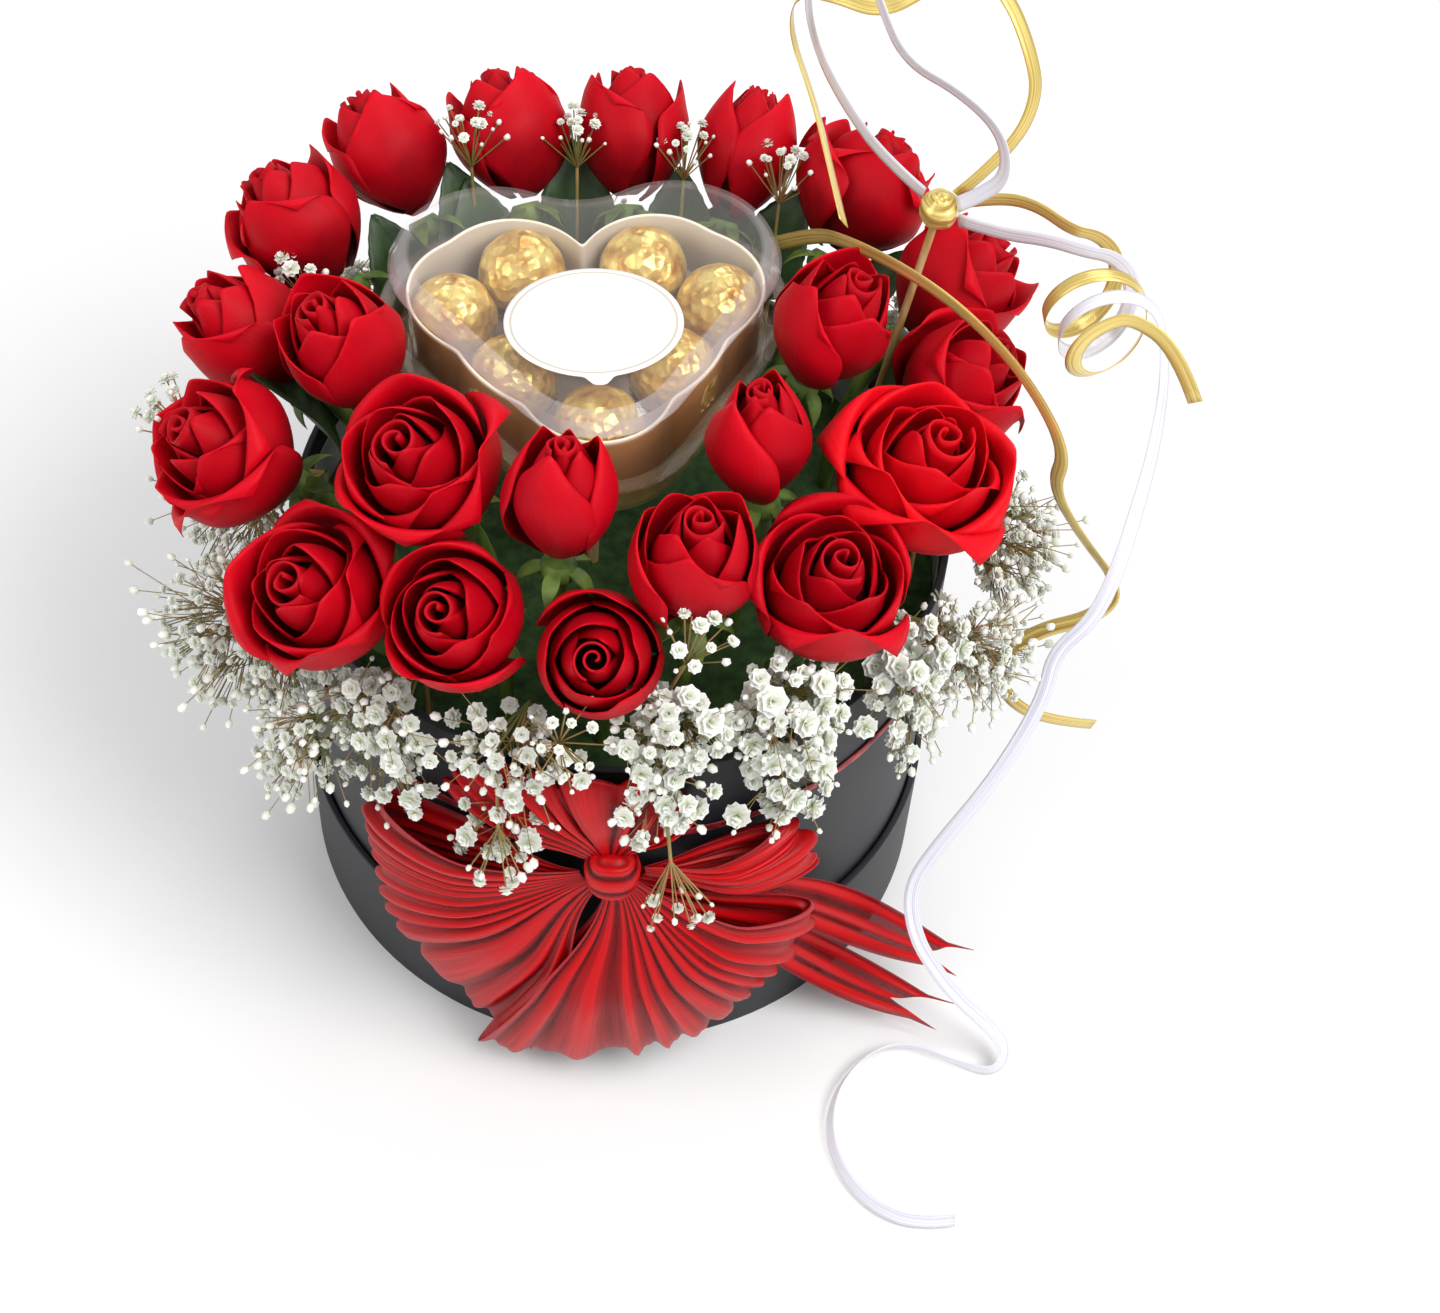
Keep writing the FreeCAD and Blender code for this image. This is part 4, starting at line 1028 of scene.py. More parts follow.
@dataclass
class Rose:
    """One bloom: the foot on its stem, bearing and lean of its axis, turn about it, and grade."""

    foot: tuple[float, float, float]
    bearing: float
    lean: float
    turn: float
    grade: Grade
    girth: float = 19.5
    height: float = 46.0

    def petals(self, rng: np.random.Generator) -> Shape:
        """Petals at the golden angle. Each is a grid of u across and v up. Its radius swells as a sine
        to the belly, closes by the lip share, then rolls out over the last quarter and along its sides,
        which leaves a pointed middle; its top falls off with a power of u.

        Args:
            rng: source of the small differences between petals.

        Returns:
            All petals, in the bloom's own frame.
        """
        wide, count, lip, roll, fall = self.grade.value
        share = (np.arange(count) / (count - 1))[:, None, None]
        v = np.linspace(0.0, 1.0, 20)[None, :, None]
        u = np.linspace(-1.0, 1.0, 19)[None, None, :]
        phase = rng.uniform(0, 2 * np.pi, (count, 1, 1))
        vary, other = rng.uniform(-1, 1, (2, count, 1, 1))
        belly = self.girth * wide * (0.36 + 0.64 * share ** 0.9) * (1 + 0.02 * vary)
        root = self.height * (0.26 - 0.22 * share)
        top = self.height * (0.965 - fall * share + 0.022 * vary) * (1 - 0.17 * np.abs(u) ** 2.2)
        top = top + 1.5 * share * np.exp(-(u / 0.25) ** 2)
        half = np.radians(84 - 14 * share + 6 * other)
        swell = np.sin(0.5 * np.pi * np.clip(v / 0.58, 0, 1)) ** 0.85
        close = np.clip((v - 0.56) / 0.44, 0, 1)
        curl = np.clip((v - 0.74) / 0.26, 0, 1)
        closing = lip * (0.66 + 0.34 * share ** 0.7) * (1 + 0.06 * other * share)
        radius = (4.2 * (1 - swell) + belly * swell) * (1 - (1 - closing) * close ** 1.5)
        bend = roll * np.clip(1.7 * share - 0.45, 0.05, 1) * (0.5 + 0.8 * np.abs(u) ** 1.3)
        bend = bend * (1 + 0.3 * np.sin(2 * u + phase))
        flare = 0.3 * roll * share * smooth((np.abs(u) - 0.55) / 0.45) * v ** 2 * (1 - 0.7 * curl)
        radius = radius + bend * curl ** 1.4 + flare + 0.35 * np.sin(5 * u + phase) * curl * share
        radius = radius * (1 + 0.05 * u)
        level = root + (top - root) * v - 0.9 * bend * curl ** 2.4
        angle = GOLDEN_ANGLE * np.arange(count)[:, None, None] + 0.22 * vary
        width = 0.6 + 0.4 * np.sin(0.5 * np.pi * np.clip(v / 0.5, 0, 1))
        angle = angle + half * u * width * (1 - 0.5 * np.clip((v - 0.66) / 0.34, 0, 1) ** 2.2)
        thick = 0.75 - 0.45 * np.maximum(np.abs(u), v) ** 4
        # Painted shade: the lip mark is low at each petal's foot and on the inner petals, which darkens
        # them.
        height = (0.2 + 0.7 * v ** 1.4) * (0.66 + 0.34 * share) + 0.05 * vary
        return shell(polar(radius, angle, level), thick, uv_grid(0.5 + 0.5 * u, v),
                     {"lip": np.clip(height, 0, 1)})

    def heart(self) -> Shape:
        """The rolled middle: a sheet wound in an oval spiral whose radius grows with the angle, closing
        in towards its top; and an egg-shaped core that fills the bloom below it.

        Returns:
            Spiral and core, in the bloom's own frame.
        """
        wide, _, lip, _, _ = self.grade.value
        reach = self.girth * wide * 0.38 * (0.55 + 0.45 * lip)
        along = np.linspace(0.0, 1.0, 80)[None, None, :]
        v = np.linspace(0.0, 1.0, 10)[None, :, None]
        angle = 2 * np.pi * 1.9 * along
        radius = (0.9 + (reach - 0.9) * along) * (1 - 0.2 * v ** 3) + 0.6 * smooth((v - 0.8) / 0.2) * along
        radius = radius * (1 + 0.12 * np.cos(angle + 0.7))
        level = self.height * (0.42 + (0.56 - 0.03 * along) * v) + 0.8 * np.sin(1.7 * angle) * v
        # Painted shade: the spiral's lip mark is low towards its foot, so its red darkens there.
        spiral = shell(polar(radius, angle, level), 0.7, uv_grid(3 * along, v), {"lip": 0.1 + 0.5 * v ** 2})
        lat, lon, _ = ball_rays(14, 24)
        egg = polar(0.5 * self.girth * wide * np.sin(lat), lon,
                    0.42 * self.height * (1 + 0.86 * np.cos(lat)) + 0.02 * self.height)
        # The core takes a near black red, painted shade deep in the bloom.
        return merged([spiral, closed_rings(egg[::-1], {"lip": np.array(0.05)})])

    def shape(self, seed: int) -> Shape:
        """The whole bloom where it stands.

        Args:
            seed: start of the bloom's random draws.

        Returns:
            The bloom on its stem.
        """
        bloom = merged([self.petals(np.random.default_rng(seed)), self.heart()])
        turn = turn_z(self.bearing) @ turn_y(self.lean) @ turn_z(self.turn)
        return bloom.moved(turn, np.array(self.foot))


@dataclass
class RoseBed:
    """All roses, each on its own stem round the chocolate box."""

    brightest: int = 14
    roses: tuple[Rose, ...] = (
        Rose((-5.2, -85.7, 188.9), -93.5, 38, 20, Grade.SMALL),
        Rose((-40.6, -78.6, 191.9), -117.3, 34, 75, Grade.CUP),
        Rose((-78.5, -67.1, 181.3), -139.5, 34, 130, Grade.OPEN),
        Rose((-103.0, -23.8, 192.1), -167, 45, 10, Grade.OPEN),
        Rose((-103.1, 16.3, 195.7), 171, 45, 60, Grade.SMALL),
        Rose((-91.5, 52.8, 203.7), 150, 45, 95, Grade.CUP),
        Rose((-69.8, 82.0, 204.6), 130.4, 48, 150, Grade.SMALL),
        Rose((-35.8, 90.9, 204.6), 111.5, 48, 40, Grade.SMALL),
        Rose((-1.3, 92.1, 204.6), 90.8, 48, 110, Grade.SMALL),
        Rose((30.8, 90.5, 200.7), 71.2, 45, 0, Grade.BUD),
        Rose((65.4, 78.0, 199.1), 50, 45, 55, Grade.OPEN),
        Rose((90.1, 44.5, 196.7), 26.3, 45, 25, Grade.CUP),
        Rose((89.3, 8.6, 191.4), 5.5, 40, 140, Grade.CUP),
        Rose((83.7, -33.0, 195.8), -21.5, 15, 85, Grade.FULL),
        Rose((57.7, -72.5, 189.0), -51.5, 12, 35, Grade.OPEN),
        Rose((21.0, -82.8, 208.0), -75.8, 2, 100, Grade.SMALL),
        Rose((-18.2, -76.0, 221.7), -103.5, -8, 5, Grade.BUD),
        Rose((-51.7, -48.2, 214.4), -137, 24, 65, Grade.OPEN),
        Rose((-76.5, -1.3, 207.0), -179, 24, 120, Grade.SMALL),
        Rose((41.8, -41.3, 212.6), -44.7, -6, 15, Grade.BUD),
        Rose((55.8, 8.8, 212.1), 9, 18, 45, Grade.SMALL),
    )

    def build(self) -> None:
        """Makes every bloom and dresses the stems."""
        for number, rose in enumerate(self.roses, start=1):
            finish = BRIGHT_PETAL if number == self.brightest else RED_PETAL
            make_piece(f"bloom_{number:02d}", rose.shape(number), [finish],
                       [f"rose_{number:02d}"])
        dress(("rose_stems",), STEM_GREEN)


@dataclass
class RoseLeaves:
    """Leaves on the stems behind the chocolate box, in the gaps between neighbouring blooms."""

    bearings: tuple[float, ...] = (18, 38, 60, 71, 81, 99, 101, 121, 123, 140, 162, 178)
    reach: float = 89.0
    level: float = 172.0
    length: float = 44.0
    half: float = 12.5
    lean: float = 24.0
    arch: float = 7.0
    thickness: float = 0.4

    def leaf(self, rng: np.random.Generator) -> Shape:
        """A pointed oval: half width as a sine of a power of v, toothed at its edge, folded along the
        midrib in proportion to u and arched back with v squared.

        Args:
            rng: source of the differences between leaves.

        Returns:
            One leaf, standing on the origin.
        """
        v = np.linspace(0.0, 1.0, 25)[:, None]
        u = np.linspace(-1.0, 1.0, 11)[None, :]
        tooth = 1 + 0.05 * np.abs(np.sin(12 * np.pi * v)) * np.abs(u) ** 3
        half = self.half * np.sin(np.pi * (0.03 + 0.965 * v ** 0.85)) ** 0.8 * tooth
        bow = 0.32 * np.abs(u) * half - self.arch * v ** 2 * rng.uniform(0.6, 1.4)
        bow = bow + 0.5 * np.sin(9 * v + 3 * u)
        points = np.stack([-bow, half * u, self.length * v * rng.uniform(0.85, 1.1) + 0 * u], -1)
        return shell(points[None], self.thickness)

    def shape(self) -> Shape:
        """All leaves, each leaning out between two blooms and turned a little about its stalk.

        Returns:
            The leaves in their places.
        """
        rng = np.random.default_rng(77)
        leaves = []
        for bearing in self.bearings:
            turn = turn_z(bearing) @ turn_y(self.lean + rng.uniform(-6, 6)) @ turn_z(rng.uniform(-25, 25))
            foot = np.array([self.reach + rng.uniform(-1, 2), 0.0, self.level + rng.uniform(-4, 6)])
            leaves.append(self.leaf(rng).moved(turn, turn_z(bearing) @ foot))
        return merged(leaves)

    def build(self) -> None:
        """Makes the leaves as one piece."""
        make_piece("rose_leaves", self.shape(), [LEAF_GREEN])


# Baby's breath


def blossom_pattern() -> tuple[Array, Faces, Array]:
    """A puff of petals in four tiers, each petal one folded quad from the middle to its tip.

    Returns:
        Points of a blossom of radius one, its faces, and how far out each point is.
    """
    tiers = ((8, -22.0, 0.9, 0.2), (7, 8.0, 1.0, 0.0), (6, 40.0, 0.95, 0.3), (3, 72.0, 0.85, 0.7))
    yaw = np.concatenate([np.arange(count) * 2 * np.pi / count + phase for count, _, _, phase in tiers])
    pitch = np.radians(np.concatenate([np.full(count, angle) for count, angle, _, _ in tiers]))
    reach = np.concatenate([np.full(count, length) for count, _, length, _ in tiers])[:, None]
    out = polar(np.cos(pitch), yaw, np.sin(pitch))
    side = np.stack([-np.sin(yaw), np.cos(yaw), 0 * yaw], -1)
    lift = np.cross(out, side)
    points = np.stack([0.05 * out, reach * (0.7 * out + 0.48 * side + 0.16 * lift), reach * out,
                       reach * (0.7 * out - 0.48 * side + 0.16 * lift)], axis=1)
    faces = np.arange(points.size // 3).reshape(-1, 4)
    return points.reshape(-1, 3), faces, np.tile([0.0, 0.8, 1.0, 0.8], len(yaw))


def bud_pattern() -> tuple[Array, Faces, Array]:
    """A closed bud: an egg of four rings.

    Returns:
        Points of a bud of radius one, its faces, and a tone for each point.
    """
    lat = np.array([0.15, 1.0, 2.0, 3.0])[:, None]
    lon = np.linspace(0, 2 * np.pi, 5, endpoint=False)[None, :]
    egg = closed_rings(polar(np.sin(lat), lon, 1.15 * np.cos(lat))[::-1])
    return egg.points, egg.faces[0], np.repeat([0.1, 0.45, 0.8, 0.95], 5)


def scattered(pattern: tuple[Array, Faces, Array], places: Array, facing: Array, radius: Array,
              spin: Array) -> Shape:
    """Copies of a small pattern, each at its place, facing its way, at its size.

    Args:
        pattern: points, faces and tones of one copy.
        places: middles, shape (copies, 3).
        facing: direction of each copy's top.
        radius: size of each copy.
        spin: turn of each copy about its top, in radians.

    Returns:
        All copies as one shape.
    """
    points, faces, tones = pattern
    top = unit(facing)
    first = unit(np.cross(other_axis(top), top))
    second = np.cross(top, first)
    cos, sin = np.cos(spin)[:, None], np.sin(spin)[:, None]
    basis = np.stack([first * cos + second * sin, second * cos - first * sin, top], axis=1)
    copies = places[:, None] + radius[:, None, None] * np.einsum("pk,nkd->npd", points, basis)
    numbers = faces[None] + (np.arange(len(places)) * len(points))[:, None, None]
    return Shape(copies.reshape(-1, 3), [numbers.reshape(-1, faces.shape[1])], [0], None,
                 {"heart": np.tile(tones, len(places))})


@dataclass
class Puff:
    """An oval cloud of blossoms: middle and half sizes outwards, sideways and up, from the rim."""

    middle: tuple[float, float, float]
    half: tuple[float, float, float]
    flowers: int
    size: tuple[float, float]


@dataclass
class Spray:
    """A spray over the rim: the bearing of its stalk, and its clouds of blossoms."""

    bearing: float
    puffs: tuple[Puff, ...]
    clear: float = 3.0
    stalk: float = 0.9
    branch: float = 0.5
    twig: float = 0.24
    bud_twig: float = 0.18
    inside: float = 9.0
    planted: float = 30.0
    fork_rise: float = 14.0

    def puff_shape(self, puff: Puff, fork: Array, rng: np.random.Generator) -> Shape:
        """Blossoms spread by the golden angle over nested ovals, shaken a little and kept clear of the
        drum wall, with a bud by each; twigs run from the fork to branching points, and from the nearest
        of these to each blossom and bud.

        Args:
            puff: the cloud.
            fork: where its twigs spring from.
            rng: source of the random draws.

        Returns:
            The cloud with its twigs, on a stalk at bearing zero.
        """
        number = np.arange(puff.flowers) + 0.5
        rise = 1 - 2 * number / puff.flowers
        ring = np.sqrt(1 - rise ** 2)
        ball = polar(ring, GOLDEN_ANGLE * number, rise)
        ball = ball * rng.uniform(0.15, 1.2, (puff.flowers, 1)) ** 0.4 + rng.normal(0, 0.1, ball.shape)
        middle = np.array(puff.middle) + np.array([DRUM_RADIUS, 0.0, RIM_LEVEL])
        places = middle + ball * np.array(puff.half)
        radius = rng.uniform(*puff.size, puff.flowers)
        wall = DRUM_RADIUS + self.clear
        low = places[:, 2] < RIM_LEVEL + self.clear
        places[:, 0] = np.where(low, np.maximum(places[:, 0], wall + radius), places[:, 0])
        nodes = fork + 0.72 * (middle + 0.6 * ball[::5] * np.array(puff.half) - fork)
        low = nodes[:, 2] < RIM_LEVEL + self.clear
        nodes[:, 0] = np.where(low, np.maximum(nodes[:, 0], wall), nodes[:, 0])
        near = nodes[np.linalg.norm(places[:, None] - nodes[None], axis=-1).argmin(1)]
        facing = unit(places - near) + np.array([0.9, 0.0, 0.6])
        spin = rng.uniform(0, 2 * np.pi, puff.flowers)
        flowers = scattered(blossom_pattern(), places, facing, radius, spin)
        shaken = rng.normal(0, 1, places.shape) * np.array([4.0, 6.0, 6.0])
        tips = places + shaken + np.array([3.0, 0, 1.0])
        tips[:, 0] = np.maximum(tips[:, 0], wall)
        buds = scattered(bud_pattern(), tips, tips - near, rng.uniform(0.8, 1.7, puff.flowers), spin)
        bend = 0.5 * (places + near) + np.array([1.0, 0.0, 2.0])
        return merged([flowers, buds, rods(np.repeat(fork[None], len(nodes), 0), nodes, self.branch, 4, 1),
                       rods(near, bend, self.twig, 3, 1), rods(bend, places, self.twig, 3, 1),
                       rods(bend, tips, self.bud_twig, 3, 1)])

    def shape(self, seed: int) -> Shape:
        """A stalk from the foam to the fork over the rim, and the clouds that spring from it.

        Args:
            seed: start of the spray's random draws.

        Returns:
            The spray at its bearing.
        """
        rng = np.random.default_rng(seed)
        reach = DRUM_BORE - self.inside
        foot = np.array([[reach, 0.0, FOAM_TOP - self.planted]])
        fork = np.array([[reach, 0.0, RIM_LEVEL + self.fork_rise]])
        clouds = [self.puff_shape(puff, fork[0], rng) for puff in self.puffs]
        return merged([*clouds, rods(foot, fork, self.stalk, 6, 1)]).moved(turn_z(self.bearing), np.zeros(3))


@dataclass
class Sprig:
    """Small blossoms that stand between the roses: root, tip, spread, number and size."""

    root: tuple[float, float, float]
    tip: tuple[float, float, float]
    spread: float
    flowers: int
    size: tuple[float, float]
    stem: float = 0.6
    twig: float = 0.28

    def shape(self, seed: int) -> Shape:
        """A stem to the tip, with twigs fanned out evenly over a small dome of blossoms about its end.

        Args:
            seed: start of the sprig's random draws.

        Returns:
            The sprig in its place.
        """
        rng = np.random.default_rng(seed)
        root, tip = np.array(self.root), np.array(self.tip)
        axis = unit(tip - root)
        first = unit(np.cross(axis, np.array([0.31, 0.95, 0.05])))
        fork = tip - 1.6 * self.spread * axis
        number = np.arange(self.flowers)
        lean = np.sqrt((number + 0.5) / self.flowers) * 1.1
        angle = GOLDEN_ANGLE * number
        dome = polar(np.sin(lean), angle, np.cos(lean) - 1)
        dome = dome @ np.stack([first, np.cross(axis, first), axis])
        places = tip + self.spread * dome + rng.normal(0, 1.2, (self.flowers, 3))
        radius = rng.uniform(*self.size, self.flowers)
        half = self.flowers // 2
        facing = places - fork
        flowers = scattered(blossom_pattern(), places[:half], facing[:half], radius[:half], angle[:half])
        buds = scattered(bud_pattern(), places[half:], facing[half:], 0.5 * radius[half:], angle[half:])
        return merged([flowers, buds, rods(root[None], fork[None], self.stem, 5, 1),
                       rods(np.repeat(fork[None], self.flowers, 0), places, self.twig, 3, 1)])


@dataclass
class BabysBreath:
    """Sprays that hang over the rim all round, and sprigs among the roses."""

    sprays: tuple[Spray, ...] = (
        Spray(-178, (Puff((18, 0, -2), (20, 24, 17), 110, (1.4, 2.6)),)),
        Spray(-153, (Puff((24, 0, 2), (24, 26, 20), 170, (1.4, 2.6)),
                     Puff((14, 4, -22), (11, 18, 16), 24, (2.0, 3.6)))),
        Spray(-128, (Puff((10, -4, 4), (13, 22, 15), 46, (2.2, 4.0)),
                     Puff((11, 0, -18), (8, 20, 20), 26, (2.2, 4.2)),
                     Puff((27, -20, -14), (12, 12, 16), 60, (1.4, 2.6)))),
        Spray(-106, (Puff((5, 0, 9), (12, 20, 13), 40, (2.0, 3.6)),
                     Puff((11, 0, -22), (8, 18, 20), 16, (2.2, 4.4)))),
        Spray(-84, (Puff((5, 5, 26), (11, 17, 19), 42, (1.8, 4.8)),
                    Puff((9, 2, -4), (9, 16, 16), 22, (2.4, 4.6)))),
        Spray(-63, (Puff((5, 0, 26), (12, 19, 22), 54, (1.8, 5.4)),
                    Puff((10, 0, -8), (8, 17, 18), 24, (3.0, 5.0)))),
        Spray(-33, (Puff((10, -12, 14), (12, 24, 17), 52, (2.0, 4.8)),
                    Puff((11, -8, -20), (8, 16, 18), 16, (2.2, 4.2)),
                    Puff((22, 10, 4), (13, 16, 16), 90, (1.4, 2.6)))),
        Spray(-8, (Puff((19, 0, 6), (15, 24, 16), 140, (1.4, 2.6)),)),
        Spray(37, (Puff((14, 0, 4), (12, 20, 16), 60, (1.6, 3.2)),)),
        Spray(101, (Puff((12, 0, 4), (12, 18, 14), 50, (1.6, 3.2)),)),
        Spray(140, (Puff((14, 0, 4), (12, 20, 16), 60, (1.6, 3.2)),)),
    )
    sprigs: tuple[Sprig, ...] = (
        Sprig((-50, 78, 150), (-54, 93, 240), 12, 18, (1.2, 2.4)),
        Sprig((-18, 80, 150), (-19, 100, 236), 12, 18, (1.2, 2.4)),
        Sprig((15, 80, 150), (17, 98, 234), 12, 18, (1.2, 2.4)),
        Sprig((46, 74, 150), (49, 90, 232), 12, 18, (1.2, 2.4)),
        Sprig((-74, 28, 150), (-108, 40, 222), 10, 14, (2.0, 3.4)),
        Sprig((8, -96, 165), (24, -108, 231), 13, 14, (1.6, 3.0)),
        Sprig((-20, -98, 165), (-14, -132, 207), 14, 16, (1.2, 2.2)),
        Sprig((14, -112, 168), (20, -137, 124), 13, 14, (1.4, 2.6)),
        Sprig((-36, -104, 168), (-34, -128, 128), 12, 10, (1.6, 3.6)),
        Sprig((-104, -30, 170), (-146, -4, 208), 12, 16, (1.6, 2.8)),
    )

    def build(self) -> None:
        """Makes the sprays in place of their solids, then the sprigs."""
        finishes = [BLOSSOM_WHITE, TWIG_OLIVE]
        for number, spray in enumerate(self.sprays, start=1):
            make_piece(f"spray_{number:02d}", spray.shape(number), finishes,
                       [f"gypsophila_{number:02d}"])
        for number, sprig in enumerate(self.sprigs, start=1):
            make_piece(f"sprig_{number:02d}", sprig.shape(100 + number), finishes)


# Bow


@dataclass
class Loop:
    """A gathered loop: angles of its sides and reach at each, stand-off of its two layers, pleats."""

    name: str
    low: float
    high: float
    reach_low: float
    reach_high: float
    inner: float
    outer: float
    pleats: float
    flat: tuple[float, float]
    solid: bool = True


@dataclass
class Tail:
    """A tail: stations of distance round the wall, rise, stand-off, half width and fold."""

    name: str
    stations: tuple[tuple[float, float, float, float, float], ...]
    flat: tuple[float, float]


@dataclass
class SheerBow:
    """Bow of sheer cloth on the drum's front, and the narrow ribbon round the drum."""

    knot_rise: float = 117.0
    knot_half: tuple[float, float, float] = (9.0, 7.5, 10.0)
    knot_out: float = 7.8
    knot_fill: float = 0.8
    root: float = 9.6
    root_gap: float = 1.2
    waist_rise: float = 125.0
    waist_tilt: float = 2.0
    waist_half: float = 1.7
    cloth: float = 0.22
    cloth_share: float = 0.62
    loops: tuple[Loop, ...] = (
        Loop("bow_loop_left", 174, 258, 70, 110, 4.5, 17.0, 12.5, (0.12, 0.22)),
        Loop("bow_loop_right", 250, 334, 110, 64, 10.0, 24.0, 12.5, (0.12, 0.22)),
        Loop("bow_loop_top", -14, 18, 62, 50, 5.0, 17.0, 5.5, (0.036, 0.12)),
        Loop("bow_loop_crown", 48, 156, 38, 58, 2.6, 9.5, 9.0, (0.09, 0.11), False),
    )
    tails: tuple[Tail, ...] = (
        Tail("bow_tail_upper", (
            (8, -5.6, 6.5, 2.2, 0.4), (52, -36, 4.5, 8.0, 1.2), (80, -65, 16.0, 9.0, 2.5),
            (101, -92, 46.0, 2.0, 0.5)), (0.02, 0.135)),
        Tail("bow_tail_lower", (
            (4.8, -5.8, 2.2, 2.4, 0.4), (40, -48, 2.8, 7.0, 0.6), (58, -70, 5.6, 8.0, 0.8),
            (74, -90, 17.0, 8.0, 2.0), (92, -108, 50.0, 2.0, 0.5)), (0.02, 0.15)),
    )

    def on_front(self, across: Array, rise: Array, out: Array) -> Array:
        """Points on the drum's front: distance round the wall, height over the knot, stand-off."""
        bearing = -0.5 * np.pi + across / DRUM_RADIUS
        return polar(DRUM_RADIUS + out, bearing, self.knot_rise + rise)

    def loop_shape(self, loop: Loop, seed: int) -> Shape:
        """A teardrop loop: along the cloth the reach goes out and back as a cosine and the stand-off
        swings as a sine, both drawn together at the knot. Pleats are a triangle wave across the fan,
        uneven in pace and depth, that grows with the reach and moves the cloth along its own face.

        Args:
            loop: sizes of the loop.
            seed: start of its random draws.

        Returns:
            The loop on the drum.
        """
        rng = np.random.default_rng(seed)
        swing = np.linspace(0.0, 2 * np.pi, 72)[:, None]
        share = np.linspace(0.0, 1.0, 140)[None, :]
        along = 0.5 - 0.5 * np.cos(swing)
        gather = 0.72 + 0.28 * smooth(2.2 * along)
        middle = np.radians(0.5 * (loop.low + loop.high))
        angle = middle + (np.radians(loop.low + (loop.high - loop.low) * share) - middle) * gather
        wander = rng.uniform(0, 2 * np.pi, 3)
        turns = loop.pleats * share + 0.45 * np.sin(2 * np.pi * 1.3 * share + wander[0])
        turns = turns + 0.2 * np.sin(2 * np.pi * 3.1 * share + wander[2] + 0.8 * along)
        pleat = 0.64 * np.arcsin(0.98 * np.sin(2 * np.pi * turns))
        pleat = pleat + 0.3 * np.sin(4.3 * np.pi * turns + wander[1])
        end = loop.reach_low + (loop.reach_high - loop.reach_low) * share + 1.6 * pleat
        end = end + 2.2 * np.sin(2 * np.pi * 2.2 * share + wander[1])
        length = self.root + (end - self.root) * along
        centre = 0.5 * (loop.inner + loop.outer)
        blend = smooth(1.8 * along)
        stand = self.knot_out + (centre - self.knot_out) * blend
        half = self.root_gap + (0.5 * (loop.outer - loop.inner) - self.root_gap) * blend
        out = stand + half * np.sin(swing) * (1 + 0.12 * np.sin(2 * np.pi * share + wander[2]))
        bearing = -0.5 * np.pi + length * np.cos(angle) / DRUM_RADIUS
        normal = polar(1.0, bearing, 0.0)
        wall = np.stack([-np.sin(bearing), np.cos(bearing), 0 * bearing], -1)
        away = wall * np.cos(angle)[..., None] + np.array([0, 0, 1.0]) * np.sin(angle)[..., None]
        face = normal * np.cos(0.5 * swing)[..., None] + away * np.sin(0.5 * swing)[..., None]
        points = self.on_front(length * np.cos(angle), length * np.sin(angle), out)
        deep = 1.9 + 0.7 * np.sin(2 * np.pi * 1.9 * share + wander[2])
        points = points + face * (deep * pleat * smooth(1.6 * along))[..., None]
        # Painted light and shade: the mark is high on each pleat's crest where it faces out, low in its
        # valley.
        ridge = np.clip(0.42 + 0.5 * pleat * np.cos(0.5 * swing), 0, 1)
        hem = smooth((np.abs(2 * share - 1) - 0.955) / 0.03)
        uv = uv_grid(share * loop.flat[0], swing / (2 * np.pi) * loop.flat[1])
        return shell(points[None], self.cloth, uv[None], {"ridge": ridge[None], "hem": hem[None]})

    def tail_shape(self, tail: Tail, seed: int) -> Shape:
        """A tail folded down its middle: a polynomial through its stations gives place, width and fold
        along it; the end is cut to a fork by drawing the middle back.

        Args:
            tail: stations of the tail.
            seed: start of its random draws.

        Returns:
            The tail on the drum.
        """
        stations = np.array(tail.stations)
        given = np.linspace(0.0, 1.0, len(stations))
        fits = np.polyfit(given, stations, len(stations) - 1)
        side = np.linspace(-1.0, 1.0, 25)[None, :]
        far = np.linspace(0.0, 1.0, 60)[:, None]
        reach = far * (1 - 0.12 * (1 - np.abs(side)) * far ** 6)
        powers = reach[..., None] ** np.arange(len(stations) - 1, -1, -1)
        across, rise, out, half, fold = np.moveaxis(powers @ fits, -1, 0)
        half = np.maximum(half, 4.5 * far)
        run = stations[-1] - stations[0]
        slope = np.arctan2(run[1], run[0])
        rng = np.random.default_rng(seed)
        crease = fold * np.cos(1.5 * np.pi * side + rng.uniform(-0.3, 0.3)) + 0.5 * far * np.sin(7 * side)
        across = across - np.sin(slope) * half * side
        rise = rise + np.cos(slope) * half * side
        points = self.on_front(across, rise, out + crease)
        hem = smooth((np.abs(side) - 0.9) / 0.06)
        uv = uv_grid(0.5 * (side + 1) * tail.flat[0], far * tail.flat[1])
        # Painted light and shade: bright and dark bands across the tail that stand for its folds.
        ridge = 0.45 + 0.35 * np.cos(3 * np.pi * side)
        return shell(points[None], self.cloth, uv[None], {"ridge": ridge[None], "hem": hem[None]})

    def knot_shape(self) -> Shape:
        """The knot: a full egg, its sine and cosine raised to a power below one, creased by waves that
        run over it from side to side.

        Returns:
            The knot on the drum.
        """
        lat, lon, _ = ball_rays(40, 64)
        wave = np.sin(8 * lat + 1.6 * np.sin(lon) + 0.7 * np.sin(3 * lon))
        crease = 1 - 0.06 * (1 + wave) * np.sin(lat) ** 0.5
        round_lat = np.sign(np.cos(lat)) * np.abs(np.cos(lat)) ** 0.75
        belt = np.sin(lat) ** 0.6
        wide, deep, tall = self.knot_half
        points = np.stack([wide * crease * belt * np.cos(lon),
                           deep * crease * belt * np.sin(lon) - DRUM_RADIUS - self.knot_out,
                           tall * crease * round_lat + self.knot_rise + 0 * lon], -1)
        # Painted shade: the creases of the knot take the darker red.
        return closed_rings(points[::-1], {"ridge": np.clip(8 * (crease - 0.88), 0, 1)[::-1]})

